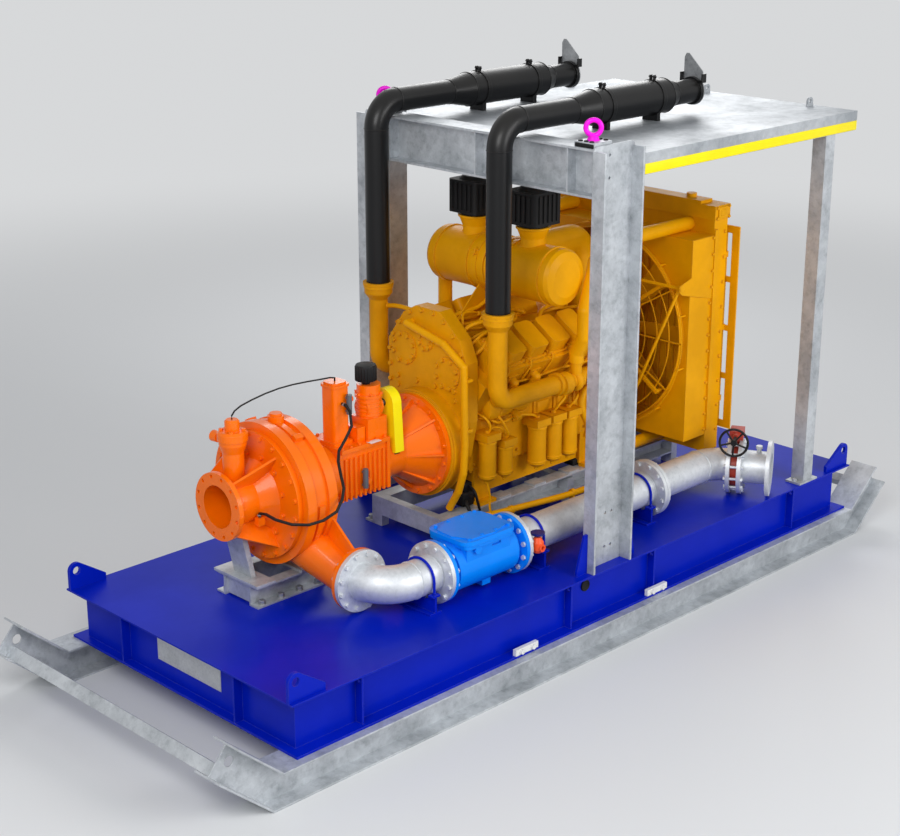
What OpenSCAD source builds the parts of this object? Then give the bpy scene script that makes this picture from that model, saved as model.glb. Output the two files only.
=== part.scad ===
// Diesel dewatering pump on a skid base, with a canopy over its engine.
// +X runs from the suction end to the radiator end, -Y is the side with the
// discharge pipe and +Z is up. The origin lies on the ground, under the middle
// of the skid. All sizes are in millimetres.

/* [Skid] */
// Length of the runners on the ground
runner_flat = 5320; // [5240:10:5600]
// Length of an upturned nose, along its slope
nose_l = 450; // [400:5:600]
// Slope of the noses
nose_angle = 41; // [30:1:48]
// Depth of the runner sections
runner_h = 203; // [180:1:240]
// Width of the runner sections
runner_w = 203; // [180:1:240]
// Thickness of the runner flanges
runner_flange = 12; // [8:1:16]
// Thickness of the runner webs
runner_web = 8; // [6:1:14]
// Distance between the middles of the two runners
runner_track = 1967; // [1900:1:2100]
// Diameter of the tow holes in the noses
tow_hole_d = 60; // [40:1:80]

/* [Base] */
// Length of the deck
deck_l = 5076; // [5000:4:5200]
// Width of the deck
deck_w = 2060; // [2000:2:2160]
// How far the middle of the deck lies ahead of the middle of the runners
deck_shift = 60; // [0:5:80]
// Height of the base under the deck's top
base_h = 319; // [280:1:380]
// Thickness of the deck and wall plates
plate = 10; // [8:1:14]
// How far the base walls stand back under the deck's edge
wall_inset = 80; // [60:1:110]
// Height of the four lifting lugs
lug_h = 163; // [140:1:220]
// Diameter of the holes in the lifting lugs
lug_hole_d = 50; // [36:1:60]

/* [Canopy] */
// Middle of the front columns, along the skid
column_x = 45; // [0:5:100]
// Depth of the column channels
column_d = 350; // [300:2:380]
// Width of the column flanges
column_w = 90; // [75:1:110]
// Top of the front columns above the ground
column_top = 3087; // [3000:1:3200]
// Depth of the front roof beam
beam_h = 280; // [240:2:320]
// Width of the roof beam's flanges
beam_w = 165; // [140:1:190]
// Underside of the roof panel above the ground
roof_z = 2897; // [2860:1:2950]
// Depth of the roof panel's edge
roof_h = 125; // [100:1:140]
// Rear end of the roof panel
roof_end_x = 2374; // [2300:2:2450]
// Side of the square rear posts
post_w = 100; // [80:1:120]
// Middle of the rear posts, along the skid
post_x = 2105; // [2000:5:2200]
// Outside diameter of a lifting eye
eye_d = 116; // [90:1:140]
// Diameter of the hole in a lifting eye
eye_hole_d = 58; // [40:1:64]

/* [Drive line] */
// Height of the shaft above the deck
shaft_h = 608; // [590:1:640]
// How far the drive line lies behind the middle of the skid
drive_y = 200; // [190:1:210]
// Suction flange face, from the middle of the skid
suction_reach = 1973; // [1900:1:2050]
// Radius of the drive shaft
shaft_r = 45; // [38:1:50]
// Radial clearance of a shaft in its bearings
run_gap = 0.05; // [0.02:0.01:0.1]

/* [Pump] */
// Outside diameter of the suction flange
suction_od = 405; // [390:1:420]
// Bolt circle of the suction flange
suction_pcd = 356; // [340:1:366]
// Bore of the suction spool
suction_bore = 254; // [240:1:260]
// Thickness of the suction flange
suction_flange_t = 30; // [24:1:36]
// Length of the suction spool from its face to the casing
spool_l = 313; // [300:1:330]
// Outside radius of the pump casing
casing_r = 425; // [410:1:440]
// Width of the pump casing
casing_w = 230; // [210:1:250]
// Radius of the casing's inside
cavity_r = 365; // [350:1:375]
// Radius of the impeller
impeller_r = 300; // [260:1:330]
// Number of impeller vanes
vane_count = 6; // [4:1:8]
// Length of the adaptor between casing and bearing housing
adaptor_l = 240; // [220:1:260]
// Length of the finned bearing housing
bearing_l = 400; // [380:1:430]
// Width of the finned bearing housing
bearing_w = 330; // [300:1:350]
// Number of cooling fins on a side of the bearing housing
fin_count = 9; // [5:1:11]
// Length of the coupling neck
neck_l = 150; // [140:1:165]
// Length of the bell housing
bell_l = 210; // [190:1:230]
// Radius of the bell housing's flange
bell_r = 320; // [305:1:335]

/* [Pipeline] */
// Outside diameter of the pipe
pipe_od = 219; // [210:1:225]
// Bore of the pipe
pipe_bore = 206; // [204:1:208]
// Outside diameter of the pipe flanges
flange_od = 370; // [360:1:375]
// Bolt circle of the pipe flanges
flange_pcd = 324; // [316:1:330]
// Bolt holes in a pipe flange
flange_holes = 12; // [8:4:16]
// Diameter of the bolt holes
bolt_hole_d = 22; // [20:1:24]
// Thickness of a pipe flange
flange_t = 26; // [22:1:30]
// Height of the pipe's middle above the deck
pipe_h = 193; // [190:1:210]
// Distance of the pipe's middle from the middle of the skid
pipe_y = 630; // [620:1:640]
// Length of the check valve between its flange faces
check_l = 620; // [600:1:640]
// Angle of the last bend of the pipe
outlet_angle = 60; // [45:1:60]

/* [Engine] */
// Length of the cylinder block
block_l = 1280; // [1240:5:1320]
// Angle between the two banks
bank_angle = 65; // [60:1:68]
// Height of a bank's deck above the crankshaft, along the bank
bank_h = 560; // [540:1:580]
// Height of the engine frame's top above the deck
frame_h = 196; // [186:1:206]
// Width across the engine frame
frame_w = 652; // [640:1:680]
// Radius of the air cleaner drums
drum_r = 180; // [160:1:190]
// Outside diameter of the exhaust pipes
stack_d = 152; // [140:1:165]
// Height of the exhaust pipes' middle line above the roof panel
stack_h = 143; // [138:1:165]
// Outside diameter of the mufflers
muffler_d = 215; // [200:1:225]
// Width of the radiator
radiator_w = 1420; // [1400:2:1460]
// Radius of the cooling fan
fan_r = 640; // [600:1:655]
// Number of fan blades
fan_blades = 8; // [6:1:10]

/* [Hidden] */

$fn = 48;
// Clearance between pieces that don't touch, and between pieces that seat
gap = 2;
seat = 0.3;

// Heights and places that several pieces share
deck_z = runner_h + base_h;
deck_x0 = deck_shift - deck_l / 2;
deck_x1 = deck_shift + deck_l / 2;
shaft_z = deck_z + shaft_h;
pipe_z = deck_z + pipe_h;

// Stations along the drive line, from the suction flange to the fan
suction_x = -suction_reach;
casing_x0 = suction_x + spool_l;
casing_x1 = casing_x0 + casing_w;
bearing_x0 = casing_x1 + adaptor_l;
bearing_x1 = bearing_x0 + bearing_l;
neck_x1 = bearing_x1 + neck_l;
bell_x1 = neck_x1 + bell_l;
bell_flange_t = 30;
flywheel_housing_l = 100;
gear_case_l = 100;
gear_x0 = bell_x1 + flywheel_housing_l;
block_x0 = gear_x0 + gear_case_l;
block_x1 = block_x0 + block_l;
bearing_h = 300;
housing_r = bell_r + 10;

// Pump lines, drives and small parts
pump_pulley_x = bearing_x1 + 75;
belt_w = 44;
vacuum_pulley_r = 62;
pump_pulley_r = 110;
vacuum_y = drive_y - 60;
vacuum_z = shaft_z + 355;

// Discharge flange of the casing and the pipe run that follows it
nozzle_x = casing_x1 - 28;
nozzle_face_y = -pipe_y + 217;
elbow_r = 200;
check_x0 = nozzle_x + elbow_r + 182;
check_x1 = check_x0 + check_l;
pair_x = 836;
pair_gap = 3;
bend_x = 1382;
bend_r = 203;
valve_w = 46;
bend_flange_l = 40;
outlet_l = 212;
outlet_start = [bend_x + bend_r * sin(outlet_angle), -pipe_y - bend_r * (1 - cos(outlet_angle))];
outlet_dir = [cos(outlet_angle), -sin(outlet_angle)];
valve_at = outlet_start + (bend_flange_l + valve_w / 2) * outlet_dir;

// Roof and exhaust
beam_top = column_top - 17;
beam_x0 = column_x - column_d / 2 + 10;
beam_end_y = deck_w / 2 - column_w - seat;
stack_z = roof_z + roof_h + stack_h;
stack_x = beam_x0 - stack_d / 2 - 44;
stack_dy = 525;
stack_bend_r = 160;
socket_top = 2037;
flap_x = 1545;
muffler_l = 690;
muffler_x = flap_x - muffler_l - 305;

// Engine and radiator
frame_top = deck_z + frame_h;
frame_x0 = block_x0 - 270;
frame_x1 = block_x1 + 750;
radiator_x0 = block_x1 + 550;
radiator_x1 = radiator_x0 + 140;
shroud_x0 = block_x1 + 325;
radiator_z0 = 862;
radiator_z1 = 2335;
fan_z = 1551;
fan_x = block_x1 + 430;
drum_x = block_x0 + 585;
drum_z = 2138;
drum_half = 542;

// Lays a piece that is drawn upwards along X or along Y
module along_x() rotate([0, 90, 0]) children();
module along_y() rotate([-90, 0, 0]) children();

// Puts a piece at the drive line's height and side, at a place along it
module on_shaft(x) translate([x, drive_y, shaft_z]) along_x() children();

// Straight round bar or cone between two points
module rod(a, b, r1, r2 = -1) {
  d = b - a;
  len = norm(d);
  translate(a)
    rotate([0, acos(d.z / len), atan2(d.y, d.x)])
      cylinder(h = len, r1 = r1, r2 = r2 < 0 ? r1 : r2);
}

// Round bar along a row of points, with a ball at each inner one
module bent_rod(points, r) {
  for (i = [1 : len(points) - 1]) rod(points[i - 1], points[i], r);
  for (i = [1 : len(points) - 2]) translate(points[i]) sphere(r = 1.02 * r);
}

// Copies its child round a circle, about Z
module ring(count, start = 0) {
  for (i = [0 : count - 1]) rotate([0, 0, start + i * 360 / count]) children();
}

// Round flange with a bore and a circle of bolt holes
module flange(od, pcd, bore, count, hole_d, t) {
  difference() {
    cylinder(h = t, d = od);
    translate([0, 0, -1]) cylinder(h = t + 2, d = bore);
    ring(count, 180 / count)
      translate([pcd / 2, 0, -1]) cylinder(h = t + 2, d = hole_d);
  }
}

module pipe_flange() flange(flange_od, flange_pcd, pipe_bore, flange_holes, bolt_hole_d, flange_t);

module tube(h, ro, ri) {
  difference() {
    cylinder(h = h, r = ro);
    translate([0, 0, -1]) cylinder(h = h + 2, r = ri);
  }
}

// Hexagon bolt heads round a circle
module hex_heads(count, r, size, h, start = 0) {
  ring(count, start) translate([r, 0, 0]) cylinder(h = h, d = size, $fn = 6);
}

// Plate of a given outline in X and Y, with round corners
module round_plate(lx, ly, t, r) {
  linear_extrude(t) round_rect(lx, ly, r);
}

module round_rect(lx, ly, r) {
  square([lx - 2 * r, ly], center = true);
  square([lx, ly - 2 * r], center = true);
  for (x = [-1, 1], y = [-1, 1])
    translate([x * (lx / 2 - r), y * (ly / 2 - r)]) circle(r = r);
}

// Runner outline between two heights of its section, with both noses
function nose_point(side, lift, along) =
  [side * (runner_flat / 2 - lift * sin(nose_angle) + along * cos(nose_angle)),
   lift * cos(nose_angle) + along * sin(nose_angle)];
function bend_point(side, lift) =
  [side * (runner_flat / 2 - lift * tan(nose_angle / 2)), lift];

module runner_strip(low, high, width) {
  translate([0, width / 2, 0]) rotate([90, 0, 0]) linear_extrude(width)
    polygon([nose_point(-1, low, nose_l), bend_point(-1, low),
             bend_point(1, low), nose_point(1, low, nose_l),
             nose_point(1, high, nose_l), bend_point(1, high),
             bend_point(-1, high), nose_point(-1, high, nose_l)]);
}

module runner() {
  difference() {
    union() {
      runner_strip(0, runner_flange, runner_w);
      runner_strip(runner_flange, runner_h - runner_flange, runner_web);
      runner_strip(runner_h - runner_flange, runner_h, runner_w);
    }
    for (side = [-1, 1]) {
      hole = nose_point(side, runner_h * 0.62, nose_l - 75);
      translate([hole.x, -runner_w / 2, hole.y]) along_y() cylinder(h = runner_w, d = tow_hole_d);
    }
  }
}

// Tie across two noses, square to their slope
module nose_tie(side) {
  tie_l = runner_track - runner_web;
  tie_h = 72;
  a = nose_point(side, runner_flange, nose_l - 130);
  translate([a.x, tie_l / 2, a.y]) rotate([90, 0, 0])
    rotate([0, 0, side > 0 ? nose_angle : 180 - nose_angle])
      translate([0, side > 0 ? 0 : -tie_h, 0]) linear_extrude(tie_l) square([60, tie_h]);
}

module skid_frame() {
  color("silver") {
    for (side = [-1, 1]) {
      translate([0, side * runner_track / 2, 0]) runner();
      nose_tie(side);
    }
  }
}

// Welded base with a recessed wall, a deck plate and a foot flange all round
rib_places = [-1974, -297, 480, 1969];
rib_t = 12;
module base_tank() {
  mid_x = deck_shift;
  core_l = deck_l - 2 * wall_inset;
  core_w = deck_w - 2 * wall_inset;
  foot_t = 14;
  foot_back = 24;
  color("mediumblue") {
    difference() {
      translate([mid_x - core_l / 2, -core_w / 2, runner_h]) cube([core_l, core_w, base_h]);
      translate([mid_x - core_l / 2 + plate, -core_w / 2 + plate, runner_h + plate])
        cube([core_l - 2 * plate, core_w - 2 * plate, base_h - 2 * plate]);
      // drain port under the near column
      translate([column_x - column_d / 2 + 15, -core_w / 2 - 1, deck_z - 93])
        along_y() cylinder(h = plate + 2, d = 60);
    }
    translate([deck_x0, -deck_w / 2, deck_z - plate]) cube([deck_l, deck_w, plate]);
    // foot flange, which ends before the runners turn up
    difference() {
      translate([deck_x0 + foot_back, -deck_w / 2, runner_h]) cube([deck_l - 2 * foot_back, deck_w, foot_t]);
      translate([mid_x - core_l / 2 + 1, -core_w / 2 + 1, runner_h - 1]) cube([core_l - 2, core_w - 2, foot_t + 2]);
    }
    // upright ribs between foot and deck
    for (x = rib_places, side = [-1, 1])
      difference() {
        translate([x, side * (deck_w / 2 - wall_inset / 2 - 14) - (wall_inset - 26) / 2, runner_h])
          cube([rib_t, wall_inset - 26, base_h - 1]);
        translate([x - 1, side * (deck_w / 2 - wall_inset / 2 - 10), deck_z - 60])
          along_x() cylinder(h = rib_t + 2, d = 22);
      }
    for (y = [-deck_w / 4, deck_w / 4], x = [deck_x0 + foot_back, deck_x1 - wall_inset])
      translate([x, y, runner_h]) cube([wall_inset - foot_back, rib_t, base_h - 1]);
    // gusset plates at the feet of the front columns
    for (side = [-1, 1], end = [-1, 1])
      translate([column_x + end * (column_d / 2 + seat), side * (deck_w / 2 - 60), deck_z - 1])
        rotate([90, 0, 0]) translate([0, 0, -8]) linear_extrude(16)
          polygon([[0, 0], [end * 90, 0], [end * 90, 35], [end * 28, 250], [0, 250]]);
  }
}

// Lugs that the whole unit is lifted by, one at each corner of the deck
lug_x = deck_l / 2 - 50;
lug_y = deck_w / 2 - 34;
lug_l = 250;
lug_t = 22;
lug_r = 50;
lug_rise = lug_h - lug_r;
module lifting_lugs() {
  color("mediumblue")
    for (end = [-1, 1], side = [-1, 1])
      translate([deck_shift + end * lug_x, side * lug_y + lug_t / 2, deck_z])
        rotate([90, 0, 0]) linear_extrude(lug_t)
          difference() {
            union() {
              polygon([[end * lug_r, 0], [end * (lug_r - lug_l), 0], [end * (lug_r - lug_l), 40],
                       [-end * lug_r * 0.6, lug_rise + lug_r * 0.8], [end * lug_r, lug_rise]]);
              translate([0, lug_rise]) circle(r = lug_r);
            }
            translate([0, lug_rise]) circle(d = lug_hole_d);
          }
}

// Bare plate on the pump end, with its rivets
name_plate_w = 576;
name_plate_h = 165;
name_plate_t = 3;
module name_plate() {
  wall_x = deck_x0 + wall_inset;
  color("gainsboro") {
    translate([wall_x - name_plate_t, -44 - name_plate_w / 2, deck_z - plate - 30 - name_plate_h])
      cube([name_plate_t, name_plate_w, name_plate_h]);
    for (y = [-1, 1], z = [14, name_plate_h - 14])
      translate([wall_x - name_plate_t - 4, -44 + y * (name_plate_w / 2 - 14), deck_z - plate - 30 - z])
        along_x() cylinder(h = 5, r = 6);
  }
}

// Drain sockets that stand out under the base, level with the runners
module tank_fittings() {
  color("white")
    for (x = [-707, 490])
      translate([x - 95, -deck_w / 2, runner_h + 14]) {
        translate([0, 0, seat]) cube([190, 24, 40]);
        for (i = [0.25, 0.75]) translate([190 * i, -14, 19]) along_y() cylinder(h = 15, r = 15);
      }
}

// Channel column, its back towards the middle and its flanges outwards
column_web = 10;
column_flange = 15;
module column_hole(x, z) {
  translate([x, -column_w, z]) along_y() cylinder(h = 2 * column_w, d = 18);
}

module columns() {
  tall = column_top - deck_z;
  corner = 26;
  color("silver")
    for (side = [-1, 1])
      translate([column_x, side * (deck_w / 2 - column_w), deck_z])
        difference() {
          union() {
            translate([-column_d / 2, side > 0 ? 0 : -column_web, 0]) cube([column_d, column_web, tall - corner]);
            translate([-column_d / 2 + corner, side > 0 ? 0 : -column_web, 0])
              cube([column_d - 2 * corner, column_web, tall]);
            for (end = [-1, 1]) {
              translate([end * (column_d / 2 - corner), side > 0 ? 0 : -column_web, tall - corner])
                along_y() cylinder(h = column_web, r = corner);
              translate([end * (column_d / 2 - column_flange / 2) - column_flange / 2, side > 0 ? 0 : -column_w, 0])
                cube([column_flange, column_w, tall - corner]);
            }
          }
          for (x = [-28, 28], z = [110, 330]) column_hole(x + 40, z);
          for (x = [-20, 20], z = [column_top - deck_z - 60, column_top - deck_z - 190]) column_hole(x - 60, z);
        }
}

// I-section beam across the top of the two columns, with its stiffeners
beam_web = 9;
beam_flange = 14;
eye_x = beam_x0 + beam_w / 2;
eye_y = 860;
eye_base_h = 34;
eye_bore_d = 40;
module roof_beam() {
  web_x = beam_x0 + beam_w / 2 - beam_web / 2;
  color("silver") {
    for (z = [beam_top - beam_h, beam_top - beam_flange])
      difference() {
        translate([beam_x0, -beam_end_y, z]) cube([beam_w, 2 * beam_end_y, beam_flange]);
        for (side = [-1, 1])
          translate([eye_x, side * eye_y, beam_top - beam_flange - 1]) cylinder(h = beam_flange + 2, d = eye_bore_d);
      }
    translate([web_x, -beam_end_y, beam_top - beam_h]) cube([beam_web, 2 * beam_end_y, beam_h - beam_flange]);
    for (y = [-eye_y + 120, -6, eye_y - 120])
      translate([beam_x0 + 6, y, beam_top - beam_h + 2]) cube([beam_w - 12, 12, beam_h - beam_flange - 1]);
    // end plates that bolt to the columns
    for (side = [-1, 1])
      translate([beam_x0 + 10, side > 0 ? beam_end_y - 12 : -beam_end_y, beam_top - beam_h])
        cube([beam_w - 10, 12, beam_h - 1]);
    for (side = [-1, 1])
      translate([eye_x, side * eye_y, beam_top]) difference() {
        translate([-75, -75, 0]) cube([150, 150, eye_base_h]);
        translate([0, 0, -1]) cylinder(h = eye_base_h + 2, d = eye_bore_d);
      }
  }
}

// Swivelling lifting eye on its shank
module lifting_eye(side) {
  eye_t = 24;
  collar_h = 26;
  color("magenta")
    translate([eye_x, side * eye_y, beam_top + eye_base_h]) {
      translate([0, 0, -eye_base_h - beam_flange + 2]) cylinder(h = eye_base_h + beam_flange, r = eye_bore_d / 2 - run_gap);
      translate([0, 0, seat]) cylinder(h = collar_h, r1 = 38, r2 = 26);
      rotate([0, 0, 45]) translate([0, 0, collar_h + eye_d / 2 - 12]) along_x()
        rotate_extrude() translate([(eye_d + eye_hole_d) / 4, 0])
          circle(d = (eye_d - eye_hole_d) / 2);
    }
}

module near_eye() lifting_eye(-1);
module far_eye() lifting_eye(1);

roof_lip = 8;
// Roof panel: a plate with a turned-down edge and cross ribs underneath
module roof_panel() {
  x0 = beam_x0 + beam_w + seat;
  x1 = column_x + column_d / 2 + seat;
  inner_w = deck_w - 2 * column_w - 2 * seat;
  module outline(inset) {
    translate([x0 + inset, -inner_w / 2 + inset]) square([roof_end_x - x0 - 2 * inset, inner_w - 2 * inset]);
    translate([x1 + inset, -deck_w / 2 + inset]) square([roof_end_x - x1 - 2 * inset, deck_w - 2 * inset]);
  }
  color("silver") {
    translate([0, 0, roof_z]) difference() {
      linear_extrude(roof_h) outline(0);
      translate([0, 0, -1]) linear_extrude(roof_h - roof_lip + 1) outline(roof_lip);
    }
    for (i = [1 : 4])
      translate([x1 + i * (roof_end_x - x1) / 5, -deck_w / 2 + roof_lip - 1, roof_z + roof_h - 60])
        cube([8, deck_w - 2 * roof_lip + 2, 54]);
    for (end = [[roof_end_x - 60, 144], [roof_end_x - 60, -700], [roof_end_x - 500, deck_w / 2 - 30]])
      translate([end[0], end[1] + 6, roof_z + roof_h - 1]) rotate([90, 0, 0]) linear_extrude(12)
        difference() {
          union() {
            circle(r = 34);
            translate([0, 30]) circle(r = 30);
          }
          translate([0, 32]) circle(r = 13);
          translate([-50, -50]) square([100, 50]);
        }
  }
}

// Square hollow posts with base and head plates
module rear_posts() {
  tall = roof_z + roof_h - roof_lip - deck_z;
  color("silver")
    for (side = [-1, 1])
      translate([post_x, side * (deck_w / 2 - 12 - post_w / 2), deck_z]) {
        difference() {
          translate([-post_w / 2, -post_w / 2, 0]) cube([post_w, post_w, tall]);
          translate([-post_w / 2 + 5, -post_w / 2 + 5, 12]) cube([post_w - 10, post_w - 10, tall - 24]);
        }
        translate([-100, -post_w / 2 - 10, 0]) cube([200, post_w + 20, 14]);
        for (x = [-78, 78]) translate([x, 0, 14]) cylinder(h = 16, d = 30, $fn = 6);
      }
}

// Frame of two bearers and two cross members that carries engine and radiator
bearer_w = 100;
module engine_frame() {
  member_h = 121;
  foot_w = 90;
  color("darkgray") {
    for (side = [-1, 1])
      translate([frame_x0 + 60, drive_y + side * (frame_w - bearer_w) / 2 - bearer_w / 2, frame_top - member_h])
        difference() {
          cube([frame_x1 - frame_x0 - 60, bearer_w, member_h]);
          translate([-1, side > 0 ? 10 : -1, 12]) cube([frame_x1 - frame_x0, bearer_w - 9, member_h - 24]);
        }
    for (x = [frame_x0, (frame_x0 + frame_x1) / 2, frame_x1 - 60])
      translate([x, drive_y - frame_w / 2, frame_top - member_h])
        cube([60, frame_w, member_h - (x == (frame_x0 + frame_x1) / 2 ? 30 : 0)]);
    for (x = [frame_x0, (frame_x0 + frame_x1) / 2, frame_x1 - 60], side = [-1, 1])
      translate([x, drive_y + side * (frame_w / 2 - foot_w / 2) - foot_w / 2, deck_z]) {
        translate([0, side > 0 ? 0 : -65, 0]) difference() {
          cube([60, foot_w + 65, 14]);
          translate([30, side > 0 ? foot_w + 40 : 25, -1]) cylinder(h = 16, d = 20);
        }
        cube([60, foot_w, frame_top - deck_z - member_h + 1]);
      }
    for (x = [0, 330, 660, 990])
      translate([x, drive_y - frame_w / 2 + 4, frame_top - 1]) cube([110, 92, 15]);
  }
}

// Bank pieces are drawn upright over the crankshaft, then leaned over
module on_bank(side) {
  translate([0, drive_y, shaft_z]) rotate([-side * bank_angle / 2, 0, 0]) children();
}

bank_w = 260;
head_h = 130;
cover_h = 110;
head_count = 6;
head_x0 = block_x0 + 90;
head_l = (block_x1 - head_x0 - gap) / head_count;
block_bottom = shaft_z - 170;
case_w = 520;
crank_bore_r = 70;
module engine_block() {
  color("goldenrod")
    difference() {
      union() {
        translate([block_x0, drive_y - case_w / 2, block_bottom]) cube([block_l, case_w, 420]);
        for (side = [-1, 1])
          on_bank(side) translate([block_x0 + 6, -bank_w / 2, 120]) cube([block_l - 12, bank_w, bank_h - 120]);
        // timing case at the radiator end
        translate([block_x1 - 1, drive_y, shaft_z]) along_x() cylinder(h = 80, r = 200);
        translate([block_x1 - 1, drive_y - 150, shaft_z]) cube([80, 300, 560]);
        // charge air chest in the valley between the banks
        translate([block_x0 + 90, drive_y - 120, shaft_z + 330]) cube([block_l - 300, 240, 340]);
        for (i = [0 : 4])
          translate([block_x0 + 120 + i * 230, drive_y + case_w / 2 - 2, shaft_z + 60]) cube([120, 14, 120]);
      }
      translate([block_x0 + 40, drive_y, shaft_z]) along_x() cylinder(h = block_l - 80, r = crank_bore_r);
      translate([block_x0 - 1, drive_y, shaft_z]) along_x() cylinder(h = block_l + 82, r = shaft_r + run_gap);
      translate([block_x1 + 18, drive_y, fan_z]) along_x() cylinder(h = 70, r = fan_shaft_r);
    }
}

sump_h = 190;
module oil_sump() {
  color("goldenrod") {
    translate([block_x0 + 60, drive_y - 235, block_bottom - sump_h]) cube([block_l - 120, 470, sump_h - 14]);
    translate([block_x0 + 20, drive_y - case_w / 2, block_bottom - 14]) cube([block_l - 40, case_w, 14]);
    // mounting feet on the engine frame
    for (x = [block_x0 + 60, block_x1 - 220], side = [-1, 1])
      translate([x, drive_y + side * (case_w / 2 + 27) - 30, frame_top + seat])
        cube([150, 60, 22]);
    for (x = [block_x0 + 60, block_x1 - 220], side = [-1, 1])
      translate([x, drive_y + side * (case_w / 2 - 12) - 14, frame_top + 20])
        cube([150, 28, block_bottom - frame_top - 21]);
    for (i = [0 : 5])
      translate([block_x0 + 120 + i * 200, drive_y, block_bottom - sump_h - 1]) cylinder(h = 3, d = 30, $fn = 6);
  }
}

// Gear case and flywheel housing on the back of the block
module rear_housing() {
  color("goldenrod")
    difference() {
      union() {
        on_shaft(bell_x1) cylinder(h = flywheel_housing_l + 1, r = housing_r);
        on_shaft(bell_x1) translate([0, 0, 12]) cylinder(h = flywheel_housing_l - 12, r = housing_r + 12);
        translate([gear_x0, drive_y, shaft_z]) rotate([90, 0, 90]) linear_extrude(gear_case_l)
          polygon([[-120, 850], [90, 850], [200, 790], [335, 600], [335, 180], [300, -60], [215, -170],
                   [-215, -170], [-300, -60], [-350, 180], [-350, 560], [-290, 700]]);
        for (c = [[190, 560, 105], [-190, 470, 105], [0, 640, 62]])
          translate([gear_x0 - 9, drive_y + c[0], shaft_z + c[1]]) along_x() cylinder(h = 10, r = c[2]);
        for (y = [-250, -80, 80, 250], z = [300, 360])
          translate([gear_x0 - 14, drive_y + y, shaft_z + z + 10]) along_x() cylinder(h = 15, r = 16);
      }
      on_shaft(bell_x1 - 1) cylinder(h = flywheel_housing_l - 10, r = housing_r - 40);
      on_shaft(bell_x1) cylinder(h = flywheel_housing_l + gear_case_l + 2, r = shaft_r + run_gap);
      on_shaft(gear_x0 + 20) cylinder(h = gear_case_l - 40, r = crank_bore_r);
    }
}

// Crankshaft with its webs, the flywheel and the belt pulley
flywheel_x0 = bell_x1 + 8;
flywheel_t = 60;
crank_x1 = block_x1 + 150;
fan_belt_x = block_x1 + 106;
crank_pulley_r = 120;
module pulley(r, w) {
  difference() {
    cylinder(h = w, r = r);
    translate([0, 0, w / 2]) rotate_extrude()
      polygon([[r - 12, -w * 0.22], [r + 1, -w * 0.34], [r + 1, w * 0.34], [r - 12, w * 0.22]]);
  }
}

module crankshaft() {
  web_pitch = (block_l - 160) / 6;
  color("slategray") {
    on_shaft(flywheel_x0) {
      cylinder(h = flywheel_t, r = housing_r - 60);
      translate([0, 0, flywheel_t - 20]) cylinder(h = 18, r = housing_r - 50);
    }
    on_shaft(flywheel_x0) cylinder(h = crank_x1 - flywheel_x0, r = shaft_r);
    for (i = [0 : 5])
      on_shaft(block_x0 + 60 + i * web_pitch) cylinder(h = web_pitch * 0.3, r = crank_bore_r - 4);
    on_shaft(fan_belt_x - 25) pulley(crank_pulley_r, 50);
  }
}

// Cylinder heads with their valve covers, one pair for every two cylinders
module cylinder_heads() {
  color("goldenrod")
    for (side = [-1, 1])
      on_bank(side)
        for (i = [0 : head_count - 1])
          translate([head_x0 + i * head_l + gap, 0, bank_h + seat]) {
            translate([0, -bank_w / 2 - 15, 0]) cube([head_l - 2 * gap, bank_w + 30, head_h]);
            translate([head_l / 2 - gap, 0, head_h]) {
              translate([0, 0, -1]) round_plate(head_l - 24, bank_w - 10, 20, 20);
              translate([0, 0, 18]) round_plate(head_l - 44, bank_w - 36, cover_h - 18, 34);
              for (x = [-1, 1], y = [-1, 1])
                translate([x * (head_l / 2 - 24), y * (bank_w / 2 - 16), 18]) cylinder(h = 12, d = 18, $fn = 6);
            }
          }
}

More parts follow.
